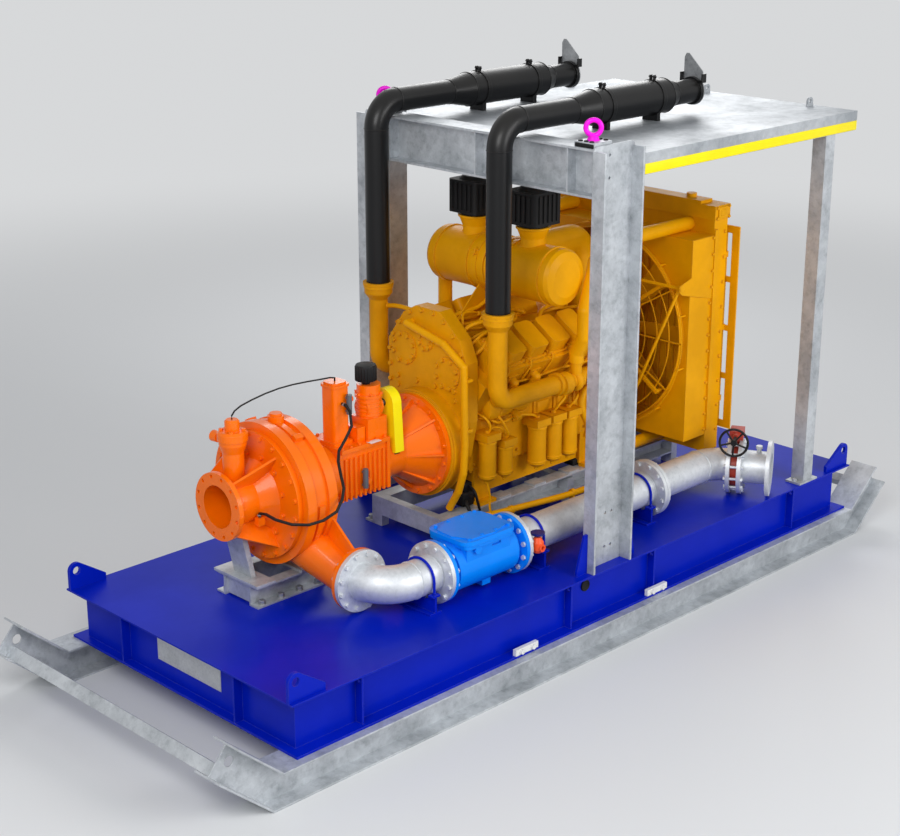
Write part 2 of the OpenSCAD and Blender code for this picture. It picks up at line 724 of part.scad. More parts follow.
// Exhaust logs along the banks, with their ports and the risers to the sockets
log_y = bank_w / 2 + 55;
log_z = 476;
log_r = 42;
port_r = 26;
turbo_x = block_x0 + 634;
turbo_z = shaft_z + 340;
turbo_r = 72;
riser_r = 60;
socket_h = 110;
module exhaust_manifolds() {
  riser_bend = 110;
  socket_r = stack_d / 2 + 14;
  color("goldenrod")
    for (side = [-1, 1]) {
      on_bank(side) {
        translate([head_x0 + 20, side * log_y, log_z]) along_x() {
          cylinder(h = (head_count - 0.5) * head_l, r = log_r);
          sphere(r = log_r);
        }
        // the third port lies behind the turbocharger, which the log feeds there
        for (i = [0 : head_count - 1])
          if (i != 2) translate([head_x0 + (i + 0.5) * head_l, 0, bank_h + 46]) {
            translate([-45, side > 0 ? bank_w / 2 + 15 + seat : -bank_w / 2 - 15 - seat - 14, -34]) cube([90, 14, 68]);
            translate([0, side > 0 ? bank_w / 2 + 25 : -log_y, 0]) along_y() cylinder(h = log_y - bank_w / 2 - 25, r = port_r);
            translate([0, side * log_y, 0]) sphere(r = port_r + 1);
            translate([0, side * log_y, log_z - bank_h - 46]) cylinder(h = bank_h + 46 - log_z, r = port_r);
          }
      }
      translate([turbo_x - 70, drive_y + side * (stack_dy + 20), turbo_z - 8]) rotate([side * 90, 0, 0])
        translate([0, 0, turbo_r + seat]) cylinder(h = 60, r = 30);
      translate([0, drive_y + side * stack_dy, 0]) {
        // riser from the turbocharger, round a bend and up
        translate([stack_x, 0, turbo_z + riser_bend]) cylinder(h = socket_top - socket_h - turbo_z - riser_bend, r = riser_r);
        translate([stack_x + riser_bend, 0, turbo_z + riser_bend])
          rotate([90, 0, 0]) rotate([0, 0, 180]) rotate_extrude(angle = 90)
            translate([riser_bend, 0]) circle(r = riser_r);
        translate([stack_x + riser_bend, 0, turbo_z]) along_x()
          cylinder(h = turbo_x - 120 - stack_x - riser_bend, r = riser_r);
        translate([turbo_x - 130, 0, turbo_z]) along_x() cylinder(h = 30 - seat, r = riser_r + 14);
        // socket that the black pipe stands in
        translate([stack_x, 0, socket_top - socket_h - 1]) difference() {
          union() {
            cylinder(h = 40, r1 = riser_r, r2 = socket_r);
            translate([0, 0, 40]) cylinder(h = socket_h - 39, r = socket_r);
            translate([0, 0, socket_h - 19]) cylinder(h = 20, r = socket_r + 8);
          }
          translate([0, 0, 51]) cylinder(h = socket_h, r = stack_d / 2 + seat);
        }
      }
    }
}

// Turbochargers beside the banks: turbine, housing, scroll and inlet
module turbochargers() {
  color("goldenrod")
    for (side = [-1, 1])
      translate([turbo_x - 100, drive_y + side * (stack_dy + 20), turbo_z]) {
        along_x() {
          cylinder(h = 60, r = turbo_r);
          translate([0, 0, 60]) cylinder(h = 40, r1 = turbo_r, r2 = 46);
          translate([0, 0, 100]) cylinder(h = 40, r = 46);
          translate([0, 0, 140]) rotate_extrude() translate([turbo_r - 28, 0]) circle(r = 28);
          translate([0, 0, 120]) cylinder(h = 70, r = 52);
        }
        // outlet of the scroll, towards the charge air pipe
        translate([140, side * 10, 0]) cylinder(h = 120, r = 36);
      }
}

// Black pipes: up past the roof beam, over the roof, through the muffler
module exhaust_stacks() {
  color("#202020")
    for (side = [-1, 1])
      translate([0, drive_y + side * stack_dy, 0])
        difference() {
          union() {
            translate([stack_x, 0, socket_top - 59]) cylinder(h = stack_z - stack_bend_r - socket_top + 59, d = stack_d);
            translate([stack_x + stack_bend_r, 0, stack_z - stack_bend_r])
              rotate([90, 0, 0]) rotate([0, 0, 90]) rotate_extrude(angle = 90)
                translate([stack_bend_r, 0]) circle(d = stack_d);
            translate([stack_x + stack_bend_r, 0, stack_z]) along_x() {
              cylinder(h = flap_x - stack_x - stack_bend_r, d = stack_d);
            }
            translate([muffler_x - 170, 0, stack_z]) along_x() cylinder(h = 170, d1 = stack_d, d2 = muffler_d);
            translate([muffler_x, 0, stack_z]) along_x() cylinder(h = muffler_l, d = muffler_d);
            translate([muffler_x + muffler_l, 0, stack_z]) along_x() cylinder(h = 90, d1 = muffler_d, d2 = stack_d);
            translate([flap_x - 22, 0, stack_z]) along_x() cylinder(h = 22, d = stack_d + 26);
          }
          translate([flap_x - 200, 0, stack_z]) along_x() cylinder(h = 201, d = stack_d - 8);
        }
  color("#202020")
    for (side = [-1, 1], x = [muffler_x + 90, muffler_x + muffler_l - 120])
      translate([x, drive_y + side * stack_dy - 60, roof_z + roof_h + seat])
        difference() {
          cube([30, 120, stack_h - muffler_d / 2 + 20]);
          translate([-1, 60, stack_h - seat]) along_x() cylinder(h = 32, d = muffler_d - 2);
        }
}

// Hinged rain flap with its counterweight plate, on a pin over the outlet
flap_pin_z = stack_z + stack_d / 2 + 26;
flap_pin_x = flap_x + 12;
module rain_flap(side) {
  flap_t = 5;
  lid_r = stack_d / 2 + 16;
  color("silver")
    translate([flap_x + 1, drive_y + side * stack_dy, 0]) {
      translate([0, 0, stack_z]) along_x() cylinder(h = flap_t, r = lid_r);
      translate([0, 0, stack_z]) rotate([90, 0, 90]) linear_extrude(flap_t)
        polygon([[-75, 40], [75, 40], [75, 205], [60, 232], [40, 232], [-75, 125]]);
      for (y = [-58, 22])
        translate([0, y, flap_pin_z - 12]) cube([22, 36, 24]);
    }
}

module near_rain_flap() {
  difference() {
    rain_flap(-1);
    flap_pin(-1, run_gap);
  }
}

module far_rain_flap() {
  difference() {
    rain_flap(1);
    flap_pin(1, run_gap);
  }
}

module flap_pin(side, extra) {
  translate([flap_pin_x, drive_y + side * stack_dy - 90, flap_pin_z])
    along_y() cylinder(h = 180, r = 6 + extra);
}

// Hinge pins and their ears belong to the black pipes
module flap_hinges() {
  color("#202020")
    for (side = [-1, 1]) {
      flap_pin(side, 0);
      for (y = [-90, 82])
        translate([flap_x - 22, drive_y + side * stack_dy + y, stack_z + stack_d / 2 - 20]) cube([42, 8, 56]);
      translate([flap_x - 22, drive_y + side * stack_dy - 90, stack_z + stack_d / 2 - 20]) cube([20, 180, 16]);
    }
}

// Air cleaner drums across the engine, their stubs and their bracket
stub_y = 253;
stub_r = 80;
stub_top = drum_z + 287;
module air_cleaners() {
  module drum(side) {
    body_y = drum_half - 40;
    translate([drum_x, drive_y, drum_z]) rotate([side * -90, 0, 0]) {
      translate([0, 0, 6]) cylinder(h = body_y - 6, r = drum_r);
      translate([0, 0, body_y]) cylinder(h = 24, r1 = drum_r, r2 = drum_r - 14);
      translate([0, 0, body_y + 24]) cylinder(h = 16, r1 = drum_r - 14, r2 = drum_r - 60);
      for (z = [6, 150, body_y - 60]) translate([0, 0, z]) cylinder(h = 14, r = drum_r + 8);
    }
    translate([drum_x, drive_y + side * stub_y, drum_z]) {
      cylinder(h = stub_top - drum_z - 70, r = stub_r);
      translate([0, 0, stub_top - drum_z - 71]) cylinder(h = 60, r1 = stub_r, r2 = stub_r + 24);
      translate([0, 0, stub_top - drum_z - 12]) cylinder(h = 12, r = stub_r + 30);
    }
  }
  color("goldenrod") {
    for (side = [-1, 1]) drum(side);
    translate([drum_x, drive_y, drum_z]) along_y() translate([0, 0, -7]) cylinder(h = 14, r = drum_r - 12);
    // duct from the drums forward to the radiator end of the engine
    translate([drum_x + 60, drive_y, drum_z + 60]) along_x() cylinder(h = 560, r = 95);
    translate([drum_x + 620, drive_y, drum_z - 60]) rotate([90, 0, 0]) rotate_extrude(angle = 90)
      translate([120, 0]) circle(r = 95);
    translate([drum_x + 740, drive_y, shaft_z + 561]) cylinder(h = drum_z - 60 - shaft_z - 560, r = 95);
    // triangular bracket plates on the charge air chest
    for (y = [-90, 80])
      translate([drum_x, drive_y + y + 10, shaft_z + 670 + seat]) rotate([90, 0, 0]) linear_extrude(10)
        polygon([[-330, 0], [230, 0], [230, 20], [150, drum_z - shaft_z - 780], [-120, drum_z - shaft_z - 780],
                 [-330, 20]]);
  }
}

// Box-shaped pre-cleaners on the stubs
module precleaners() {
  side_w = 250;
  tall = 210;
  color("#1c1c1c")
    for (side = [-1, 1])
      translate([drum_x, drive_y + side * stub_y, stub_top + seat]) {
        cylinder(h = 20, r = stub_r + 10);
        translate([0, 0, 18]) round_plate(side_w, side_w, tall, 30);
        for (i = [0 : 4], turn = [0, 90, 180, 270])
          rotate([0, 0, turn]) translate([side_w / 2 - 1, -90 + i * 40, 40]) cube([10, 18, tall - 40]);
        translate([0, 0, tall + 16]) cylinder(h = 24, r1 = 105, r2 = 80);
      }
}

// Crankcase breather pipe down the back of the engine
breather_x = gear_x0 - 45;
breather_r = 24;
module breather_pipe() {
  color("goldenrod") {
    bent_rod([[breather_x, drive_y + 120, shaft_z + 740], [breather_x, drive_y - 200, shaft_z + 670],
              [breather_x, drive_y - 375, shaft_z + 560], [breather_x, drive_y - 385, shaft_z + 60],
              [breather_x, drive_y - 372, shaft_z - 120], [breather_x, drive_y - 330, shaft_z - 250],
              [breather_x, drive_y - 250, frame_top + 30]],
             breather_r);
    translate([breather_x, drive_y + 120, shaft_z + 740]) sphere(r = breather_r);
    translate([breather_x, drive_y + 120, shaft_z + 740]) along_x() cylinder(h = 45 - seat, r = breather_r);
    for (z = [470, 150])
      translate([breather_x, drive_y - 410, shaft_z + z]) cube([45 - seat, 60, 16]);
  }
}

// Fuel and oil filters with their heads on the near side of the block
module filter_can(x, z, r, h) {
  translate([x, drive_y - case_w / 2 - 75, z]) {
    cylinder(h = 14, r1 = r - 12, r2 = r);
    translate([0, 0, 14]) cylinder(h = h - 14, r = r);
    translate([-r - 4, -r - 4, h]) cube([2 * r + 8, r + 79 - seat, 46]);
    translate([0, 0, h + 45]) cylinder(h = 18, d = 34, $fn = 6);
  }
}

module engine_filters() {
  color("goldenrod") {
    filter_can(block_x0 + 105, shaft_z - 230, 56, 260);
    filter_can(block_x0 + 260, shaft_z - 240, 52, 200);
    for (i = [0 : 2]) filter_can(block_x0 + 560 + i * 150, shaft_z - 250, 60, 270);
    // starter motor and its drive end
    translate([block_x0 + 20, drive_y + case_w / 2 + 74 + seat, shaft_z - 40]) along_x() {
      cylinder(h = 330, r = 74);
      translate([0, 0, 330]) cylinder(h = 24, r1 = 74, r2 = 60);
    }
  }
}

// Charge air pipes over the shroud and the coolant pipe beside the pulleys
charge_z = radiator_z1 - 48;
charge_r = 47;
coolant_r = 50;
module radiator_pipes() {
  x = turbo_x + 40;
  coolant_x = block_x1 + 45;
  coolant_y = drive_y - 345;
  color("goldenrod") {
    for (side = [-1, 1]) {
      y = drive_y + side * (stack_dy + 30);
      bent_rod([[x, y, turbo_z + 120 + seat], [x, y, turbo_z + 180], [x, y + side * 60, turbo_z + 290], [x, y + side * 60, turbo_z + 460],
                [x + 180, y - side * 20, charge_z - 90], [x + 330, y - side * 55, charge_z],
                [radiator_x0 - seat, y - side * 55, charge_z]], charge_r);
    }
    bent_rod([[coolant_x, drive_y - 150 - seat, shaft_z + 300], [coolant_x, coolant_y, shaft_z + 300],
              [coolant_x, coolant_y, frame_top + 140], [coolant_x + 70, coolant_y, frame_top + 71],
              [radiator_x0 - seat, coolant_y, frame_top + 71]], coolant_r - 10);
  }
}

// Radiator: side posts, tanks and the core between them
core_fin_pitch = 60;
module radiator() {
  half = radiator_w / 2;
  depth = radiator_x1 - radiator_x0;
  color("goldenrod") {
    for (side = [-1, 1])
      translate([radiator_x0, drive_y + side * (half - 30) - 30, frame_top + 120]) {
        cube([depth, 60, radiator_z1 - frame_top - 120]);
        translate([0, side > 0 ? 20 : -12, 60]) cube([30, 52, radiator_z1 - frame_top - 240]);
      }
    translate([radiator_x0, drive_y - half, frame_top + 20]) cube([depth, radiator_w, 102]);
    for (side = [-1, 1])
      translate([radiator_x0, drive_y + side * (frame_w / 2 - 50) - 40, frame_top + seat]) cube([depth, 80, 22]);
    for (z = [radiator_z0 - 22, radiator_z1 - 99])
      translate([radiator_x0, drive_y - half, z]) cube([depth, radiator_w, 100]);
    translate([radiator_x0 - 10, drive_y - half - 10, radiator_z1]) cube([depth + 20, radiator_w + 20, 95]);
    translate([radiator_x0 - 10, drive_y - half + 110, radiator_z1 + 94]) cube([depth - 20, radiator_w - 220, 22]);
    translate([radiator_x0 + 70, drive_y - half + 250, radiator_z1 + 94]) cylinder(h = 46, r = 34);
    translate([radiator_x0 + 30, drive_y - half + 59, radiator_z0 + 77])
      cube([depth - 60, radiator_w - 118, radiator_z1 - radiator_z0 - 76]);
    for (y = [-half + 70 : core_fin_pitch : half - 80])
      translate([radiator_x0 + 16, drive_y + y, radiator_z0 + 77])
        cube([depth - 32, 14, radiator_z1 - radiator_z0 - 76]);
  }
}

// Fan shroud: a box in front of the core with a round mouth
shroud_gap = 22;
module fan_shroud() {
  half = radiator_w / 2;
  wall = 6;
  height = 1376;
  mouth_r = fan_r + shroud_gap;
  color("goldenrod")
    difference() {
      union() {
        translate([shroud_x0, drive_y - half + 4, radiator_z0]) cube([radiator_x0 - shroud_x0 - seat, radiator_w - 8, height]);
        translate([shroud_x0 - 40, drive_y, fan_z]) along_x() cylinder(h = 60, r = mouth_r + wall);
      }
      translate([shroud_x0 + wall, drive_y - half + 4 + wall, radiator_z0 + wall])
        cube([radiator_x0 - shroud_x0, radiator_w - 8 - 2 * wall, height - 2 * wall]);
      translate([shroud_x0 - 41, drive_y, fan_z]) along_x() cylinder(h = 80, r = mouth_r);
      for (y = [-160, 160])
        translate([shroud_x0 - 1, drive_y + y - 40, radiator_z0 - 1]) cube([60, 80, 20]);
    }
}

// Fan with swept blades on a hub, its pulley and its shaft
fan_hub_r = 120;
fan_pulley_r = 100;
fan_shaft_r = 30;
fan_blade_w = 190;
module cooling_fan() {
  color("goldenrod")
    translate([fan_x, drive_y, fan_z]) along_x() {
      translate([0, 0, -45]) cylinder(h = 90, r = fan_hub_r);
      ring(fan_blades)
        translate([fan_hub_r - 6, 0, 0]) rotate([32, 0, 0])
          translate([0, -fan_blade_w / 2, -3])
            linear_extrude(6) polygon([[0, 55], [(fan_r - fan_hub_r) * 0.98, 0], [(fan_r - fan_hub_r) * 0.98, fan_blade_w],
                                       [0, fan_blade_w - 45]]);
      translate([0, 0, fan_belt_x - fan_x - 25]) pulley(fan_pulley_r, 50);
      translate([0, 0, block_x1 - fan_x + 20]) cylinder(h = fan_x - block_x1 - 20, r = fan_shaft_r - run_gap);
    }
}

// Wire guard in front of the fan, on struts from the shroud
guard_wire_r = 4;
guard_x = shroud_x0 - 60;
module fan_guard() {
  rings = 6;
  inner_r = 190;
  outer_r = fan_r + 60;
  pitch = (outer_r - inner_r) / (rings - 1);
  strut_reach = outer_r - 60;
  color("goldenrod")
    translate([guard_x, drive_y, fan_z]) along_x() {
      for (i = [0 : rings - 1])
        rotate_extrude() translate([inner_r + i * pitch, 0]) circle(r = guard_wire_r, $fn = 14);
      ring(12) translate([inner_r, -5, -3]) cube([outer_r - inner_r, 10, 6]);
      ring(12, 15) translate([outer_r, 0, 0]) cylinder(h = 60 - seat, r = guard_wire_r + 2, $fn = 16);
      // pair of struts that stiffen the guard
      for (a = [55, 125, 235, 305])
        rotate([0, 0, a]) translate([200, -12, -22]) {
          cube([strut_reach - 200, 24, 20]);
          translate([strut_reach - 220, 0, 10]) cube([20, 24, 72 - seat]);
        }
    }
}

// Slotted plate that keeps stones off the core
module stone_guard() {
  guard_w = radiator_w + 140;
  guard_h = 1400;
  slot_rows = 4;
  slot_cols = 16;
  x0 = radiator_x1 + 40;
  pitch_y = (guard_w - 60) / slot_cols;
  pitch_z = (guard_h - 60) / slot_rows;
  color("goldenrod") {
    difference() {
      translate([x0, drive_y - guard_w / 2, radiator_z0 + 13]) cube([12, guard_w, guard_h]);
      for (i = [0 : slot_cols - 1], j = [0 : slot_rows - 1])
        translate([x0 - 1, drive_y - guard_w / 2 + 30 + i * pitch_y + pitch_y * 0.28, radiator_z0 + 43 + j * pitch_z + 20])
          cube([14, pitch_y * 0.44, pitch_z - 40]);
    }
    for (side = [-1, 1], z = [200, guard_h / 2, guard_h - 200])
      translate([radiator_x1 + seat, drive_y + side * (radiator_w / 2 - 30) - 20, radiator_z0 + z]) cube([40, 40, 40]);
  }
}

// Belts, drawn as the shape that they take round their pulleys
module belt_loop(a, ra, b, rb, w, t) {
  linear_extrude(w) difference() {
    polygon(belt_outline(a, ra + t, b, rb + t));
    polygon(belt_outline(a, ra, b, rb));
  }
}

// Arc round each pulley from one straight run to the other
function belt_outline(a, ra, b, rb, steps = 36) =
  let (d = b - a, tilt = atan2(d.y, d.x), lean = acos((ra - rb) / norm(d)))
  concat([for (i = [0 : steps]) belt_point(a, ra, tilt + lean + i * (360 - 2 * lean) / steps)],
         [for (i = [0 : steps]) belt_point(b, rb, tilt - lean + i * 2 * lean / steps)]);
function belt_point(c, r, angle) = c + r * [cos(angle), sin(angle)];

belt_t = 10;
module drive_belts() {
  color("#1a1a1a") {
    // fan belt, seen along X: first coordinate is Y, second is Z
    translate([fan_belt_x - 16, 0, 0]) rotate([90, 0, 90])
      belt_loop([drive_y, shaft_z], crank_pulley_r + seat, [drive_y, fan_z], fan_pulley_r + seat, 32, belt_t);
    translate([pump_pulley_x - 14, 0, 0]) rotate([90, 0, 90])
      belt_loop([drive_y, shaft_z], pump_pulley_r + seat, [vacuum_y, vacuum_z], vacuum_pulley_r + seat, 28, belt_t);
  }
}

// Front cover of the pump with the suction spool and its flange
cover_rim_r = casing_r - 45;
module suction_cover() {
  spool_r = suction_bore / 2 + 14;
  cover_t = 34;
  color("orangered")
    difference() {
      union() {
        on_shaft(suction_x) flange(suction_od, suction_pcd, suction_bore, 12, bolt_hole_d, suction_flange_t);
        on_shaft(suction_x + 1) cylinder(h = spool_l - cover_t, r = spool_r);
        on_shaft(suction_x + spool_l - 120) cylinder(h = 90, r1 = spool_r, r2 = spool_r + 80);
        on_shaft(casing_x0 - cover_t) cylinder(h = cover_t - seat, r = cover_rim_r);
        // ribs between spool and cover
        for (a = [35, 145, 215, 325])
          on_shaft(suction_x + suction_flange_t) rotate([0, 0, a]) translate([spool_r - 2, -7, 0])
            rotate([90, 0, 0]) translate([0, 0, -14]) linear_extrude(14)
              polygon([[0, 0], [55, 0], [195, spool_l - suction_flange_t - cover_t + 1], [0, spool_l - suction_flange_t - cover_t + 1]]);
        // upright barrel that the priming chamber stands on
        translate([suction_x + 127, drive_y, shaft_z]) cylinder(h = 300, r = 62);
        on_shaft(casing_x0 - cover_t - 14) hex_heads(20, cover_rim_r - 24, 30, 15, 9);
        translate([suction_x + 165, drive_y - spool_r - 22, shaft_z - 120]) cube([46, 40, 46]);
      }
      on_shaft(suction_x - 1) cylinder(h = spool_l + 2, r = suction_bore / 2);
    }
}

// Priming chamber with its lid, boss and side fitting
chamber_z0 = shaft_z + 300;
module priming_chamber() {
  x = suction_x + 127;
  color("orangered") {
    translate([x, drive_y, chamber_z0]) {
      cylinder(h = 50, r1 = 62, r2 = 80);
      translate([0, 0, 50]) cylinder(h = 24, r = 80);
      translate([0, 0, 74]) cylinder(h = 42, r = 88);
      translate([0, 0, 116]) cylinder(h = 14, r1 = 88, r2 = 74);
      translate([0, 0, 130]) cylinder(h = 55, r = 43);
      translate([0, 0, 185]) cylinder(h = 10, r1 = 43, r2 = 34);
      translate([0, 0, 115]) hex_heads(4, 64, 26, 26, 45);
    }
  }
  color("gainsboro")
    translate([x - 8, drive_y + 78, chamber_z0 + 60]) along_y() {
      cylinder(h = 40, r = 15);
      translate([0, 0, 40]) cylinder(h = 46, r1 = 30, r2 = 34);
    }
}

rear_band_drop = 8;
// Pump casing: three raised bands, the discharge nozzle and its flange
nozzle_from = [nozzle_x - 52, drive_y - 150, shaft_z - 262];
nozzle_run = 130;
nozzle_to = [nozzle_x, nozzle_face_y + nozzle_run, pipe_z];
module casing_body() {
  band = casing_w * 0.28;
  on_shaft(casing_x0) cylinder(h = band, r = casing_r);
  on_shaft(casing_x0 + band - 1) cylinder(h = casing_w - 2 * band + 2, r = casing_r - 26);
  on_shaft(casing_x1 - band) cylinder(h = band, r = casing_r - rear_band_drop);
  on_shaft(casing_x0 + casing_w * 0.42) ring(3, 30)
    rotate_extrude(angle = 56) translate([casing_r - 60, 0]) square([48, casing_w * 0.16]);
  on_shaft(casing_x1 - 1) cylinder(h = 40, r1 = casing_r - 40, r2 = casing_r - 120);
  on_shaft(casing_x1 - 1) cylinder(h = 60, r = 190);
}

module casing() {
  color("orangered")
    difference() {
      union() {
        casing_body();
        rod(nozzle_from, nozzle_to, 150, pipe_od / 2 + 6);
        translate(nozzle_to) sphere(r = pipe_od / 2 + 7);
        translate([nozzle_x, nozzle_face_y + 1, pipe_z]) along_y() cylinder(h = nozzle_run - 1, r = pipe_od / 2 + 6);
        translate([nozzle_x, nozzle_face_y, pipe_z]) rotate([90, 0, 0])
          translate([0, 0, -flange_t]) pipe_flange();
        // rib from the casing to the nozzle's flange
        translate([nozzle_x, nozzle_face_y + flange_t, pipe_z]) rotate([90, 0, -90]) translate([0, 0, -8])
          linear_extrude(16) polygon([[0, 60], [0, 165], [-200, 330], [-330, 330], [-330, 60]]);
        // filling boss and plug on the casing's top
        translate([casing_x0 + 130, drive_y, shaft_z + casing_r - 40]) {
          cylinder(h = 60, r = 48);
          translate([0, 0, 60]) cylinder(h = 14, r = 36);
        }
        on_shaft(casing_x1 - 60) translate([0, 0, 59]) hex_heads(24, casing_r - 36, 28, 14);
        for (a = [60, 120])
          on_shaft(casing_x0 + casing_w / 2) rotate([0, 0, 90 + a]) translate([casing_r - 40, -16, -30]) cube([50, 32, 60]);
      }
      on_shaft(casing_x0 - 1) cylinder(h = casing_w - 30, r = cavity_r);
      on_shaft(casing_x1 - 60) cylinder(h = 160, r = shaft_r + 8);
      rod(nozzle_from, nozzle_to, 96, pipe_bore / 2);
      translate(nozzle_to) sphere(r = pipe_bore / 2 + 0.5);
      translate([nozzle_x, nozzle_face_y - 1, pipe_z]) along_y() cylinder(h = nozzle_run + 1, r = pipe_bore / 2);
    }
}

// Closed impeller: two shrouds with curved vanes between them
module impeller() {
  hub_r = 80;
  width = 70;
  x = casing_x0 + 60;
  vane_curve = 260;
  color("dimgray")
    difference() {
      union() {
        on_shaft(x) tube(10, impeller_r, 120);
        on_shaft(x + 9)
          ring(vane_count)
            intersection() {
              translate([vane_curve - 40, -170, 0]) difference() {
                cylinder(h = width + 2, r = vane_curve);
                translate([0, 0, -1]) cylinder(h = width + 4, r = vane_curve - 12);
              }
              difference() {
                cylinder(h = width + 2, r = impeller_r - 4);
                translate([0, 0, -1]) cylinder(h = width + 4, r = 118);
              }
              translate([0, -impeller_r, 0]) cube([impeller_r, impeller_r + 60, width + 2]);
            }
        on_shaft(x + 10 + width) cylinder(h = 12, r = impeller_r);
        on_shaft(x + 30) cylinder(h = width - 18, r1 = shaft_r + 16, r2 = 122);
      }
      on_shaft(x) cylinder(h = width + 40, r = shaft_r + 0.1);
    }
}

// Pump shaft with its nut, seal sleeve, belt pulley and coupling plate
module pump_shaft() {
  x0 = casing_x0 + 66;
  color("silver") {
    on_shaft(x0) cylinder(h = flywheel_x0 - x0 - seat, r = shaft_r);
    on_shaft(x0 - 16) cylinder(h = 24 - seat, d = 1.5 * shaft_r, $fn = 6);
    on_shaft(pump_pulley_x - 22) pulley(pump_pulley_r, 44);
    on_shaft(flywheel_x0 - 60) cylinder(h = 60 - seat, r = 150);
    on_shaft(flywheel_x0 - 100) cylinder(h = 60, r1 = shaft_r + 20, r2 = 90);
  }
}

// Bearing housing with fins round its sides and bolted end plates
module bearing_housing() {
  fin_pitch = (bearing_l - 60) / fin_count;
  low = shaft_z - bearing_h / 2;
  color("orangered")
    difference() {
      union() {
        on_shaft(casing_x1 + 60) cylinder(h = adaptor_l - 60, r = 175);
        on_shaft(casing_x1 + 60) cylinder(h = 26, r = 230);
        on_shaft(casing_x1 + 85) hex_heads(12, 205, 26, 14);
        translate([bearing_x0, drive_y - bearing_w / 2 + 14, low + 14])
          cube([bearing_l - 1, bearing_w - 28, bearing_h - 14]);
        for (i = [0 : fin_count - 1])
          translate([bearing_x0 + 30 + (i + 0.25) * fin_pitch, drive_y - bearing_w / 2, low])
            cube([fin_pitch * 0.4, bearing_w, bearing_h - 40]);
        for (x = [bearing_x0, bearing_x1 - 25])
          translate([x, drive_y - bearing_w / 2, low]) cube([24, bearing_w, bearing_h]);
        // top flange that carries the vacuum set
        translate([bearing_x0 + 10, drive_y - bearing_w / 2 - 4, shaft_z + bearing_h / 2 - 1]) cube([bearing_l - 15, bearing_w + 8, 26]);
      }
      on_shaft(casing_x1 + 59) cylinder(h = adaptor_l + bearing_l - 59, r = shaft_r + run_gap);
      on_shaft(bearing_x0 + 70) cylinder(h = bearing_l - 140, r = shaft_r + 30);
      on_shaft(casing_x1 + 90) cylinder(h = 120, r = shaft_r + 30);
    }
}

// Bell housing: coupling neck with a belt slot, cone and engine flange
module bell_housing() {
  neck_r = 150;
  wall = 16;
  color("orangered")
    difference() {
      union() {
        on_shaft(bearing_x1) cylinder(h = neck_l + 1, r = neck_r);
        on_shaft(bearing_x1 + seat) cylinder(h = 16, r = neck_r + 12);
        on_shaft(neck_x1) cylinder(h = bell_l - bell_flange_t, r1 = neck_r, r2 = bell_r - 50);
        on_shaft(bell_x1 - bell_flange_t - 1) cylinder(h = bell_flange_t + 1 - seat, r = bell_r);
        on_shaft(bell_x1 - bell_flange_t - 14) hex_heads(16, bell_r - 24, 26, 14, 11);
        for (a = [0 : 45 : 315])
          on_shaft(neck_x1) rotate([0, 0, a]) translate([neck_r - 6, -7, 0]) rotate([90, 0, 0]) translate([0, 0, -14])
            linear_extrude(14) polygon([[0, 0], [8, 0], [bell_r - neck_r - 16, bell_l - bell_flange_t], [0, bell_l - bell_flange_t]]);
      }
      on_shaft(bearing_x1 - 1) cylinder(h = neck_l + 2, r = neck_r - wall);
      on_shaft(neck_x1) cylinder(h = bell_l - bell_flange_t - 8, r1 = neck_r - wall, r2 = bell_r - 50 - wall);
      on_shaft(bell_x1 - bell_flange_t - 9) cylinder(h = bell_flange_t + 12, r = bell_r - 50 - wall);
      // slot that the vacuum pump's belt runs through
      translate([pump_pulley_x - belt_w / 2, drive_y - 145, shaft_z + 20]) cube([belt_w, 290, 200]);
    }
}

// Vacuum pump that draws the air out of the suction side
vacuum_base_z = shaft_z + bearing_h / 2 + 25;
module vacuum_pump() {
  x = bearing_x1 - 75;
  color("orangered")
    difference() {
      union() {
        translate([x - 80, vacuum_y - 80, vacuum_base_z + seat]) cube([150, 160, 130]);
        translate([x, vacuum_y, vacuum_base_z + 100]) cylinder(h = 150, r = 74);
        translate([x, vacuum_y, vacuum_base_z + 249]) cylinder(h = 18, r = 84);
        translate([x, vacuum_y, vacuum_base_z + 266]) cylinder(h = 62, r = 72);
        for (i = [0 : 3]) translate([x, vacuum_y, vacuum_base_z + 140 + i * 26]) cylinder(h = 10, r = 80);
        translate([x - 60, vacuum_y, vacuum_z]) along_x() cylinder(h = 125, r = 62);
        translate([bearing_x0 + 178, vacuum_y - 60, vacuum_base_z + seat]) cube([60, 120, 90]);
      }
      translate([x - 30, vacuum_y, vacuum_z]) along_x() cylinder(h = 200, r = 16 + run_gap);
    }
  color("#202020")
    translate([x - 20, vacuum_y, vacuum_base_z + 328]) {
      cylinder(h = 26, r = 20);
      translate([0, 0, 25]) cylinder(h = 84, r = 60);
      translate([0, 0, 100]) cylinder(h = 16, r1 = 60, r2 = 44);
    }
}

// Tall tank that parts water from the air
tank_x = bearing_x0 + 95;
tank_y = drive_y - 20;
tank_h = 355;
tank_top = vacuum_base_z + tank_h + 28;
module separator_tank() {
  color("orangered") {
    translate([tank_x, tank_y, vacuum_base_z + seat]) round_plate(150, 150, 20, 16);
    translate([tank_x, tank_y, vacuum_base_z + 20]) round_plate(122, 122, tank_h - 20, 26);
    translate([tank_x, tank_y, vacuum_base_z + tank_h - 1]) round_plate(136, 136, 16, 30);
    translate([tank_x, tank_y, vacuum_base_z + tank_h + 14]) round_plate(110, 110, 14, 26);
    translate([tank_x + 60, tank_y - 10, vacuum_base_z + 250]) along_x() cylinder(h = 60, r = 18);
  }
}

// Sight gauges: a glass column in a grey body, on the tank and on the housing
module gauge(x, y, z) {
  translate([x, y, z]) {
    cylinder(h = 120, r = 17);
    for (h = [14, 96]) translate([0, -1, h]) along_y() cylinder(h = 26 - seat, r = 9);
  }
}

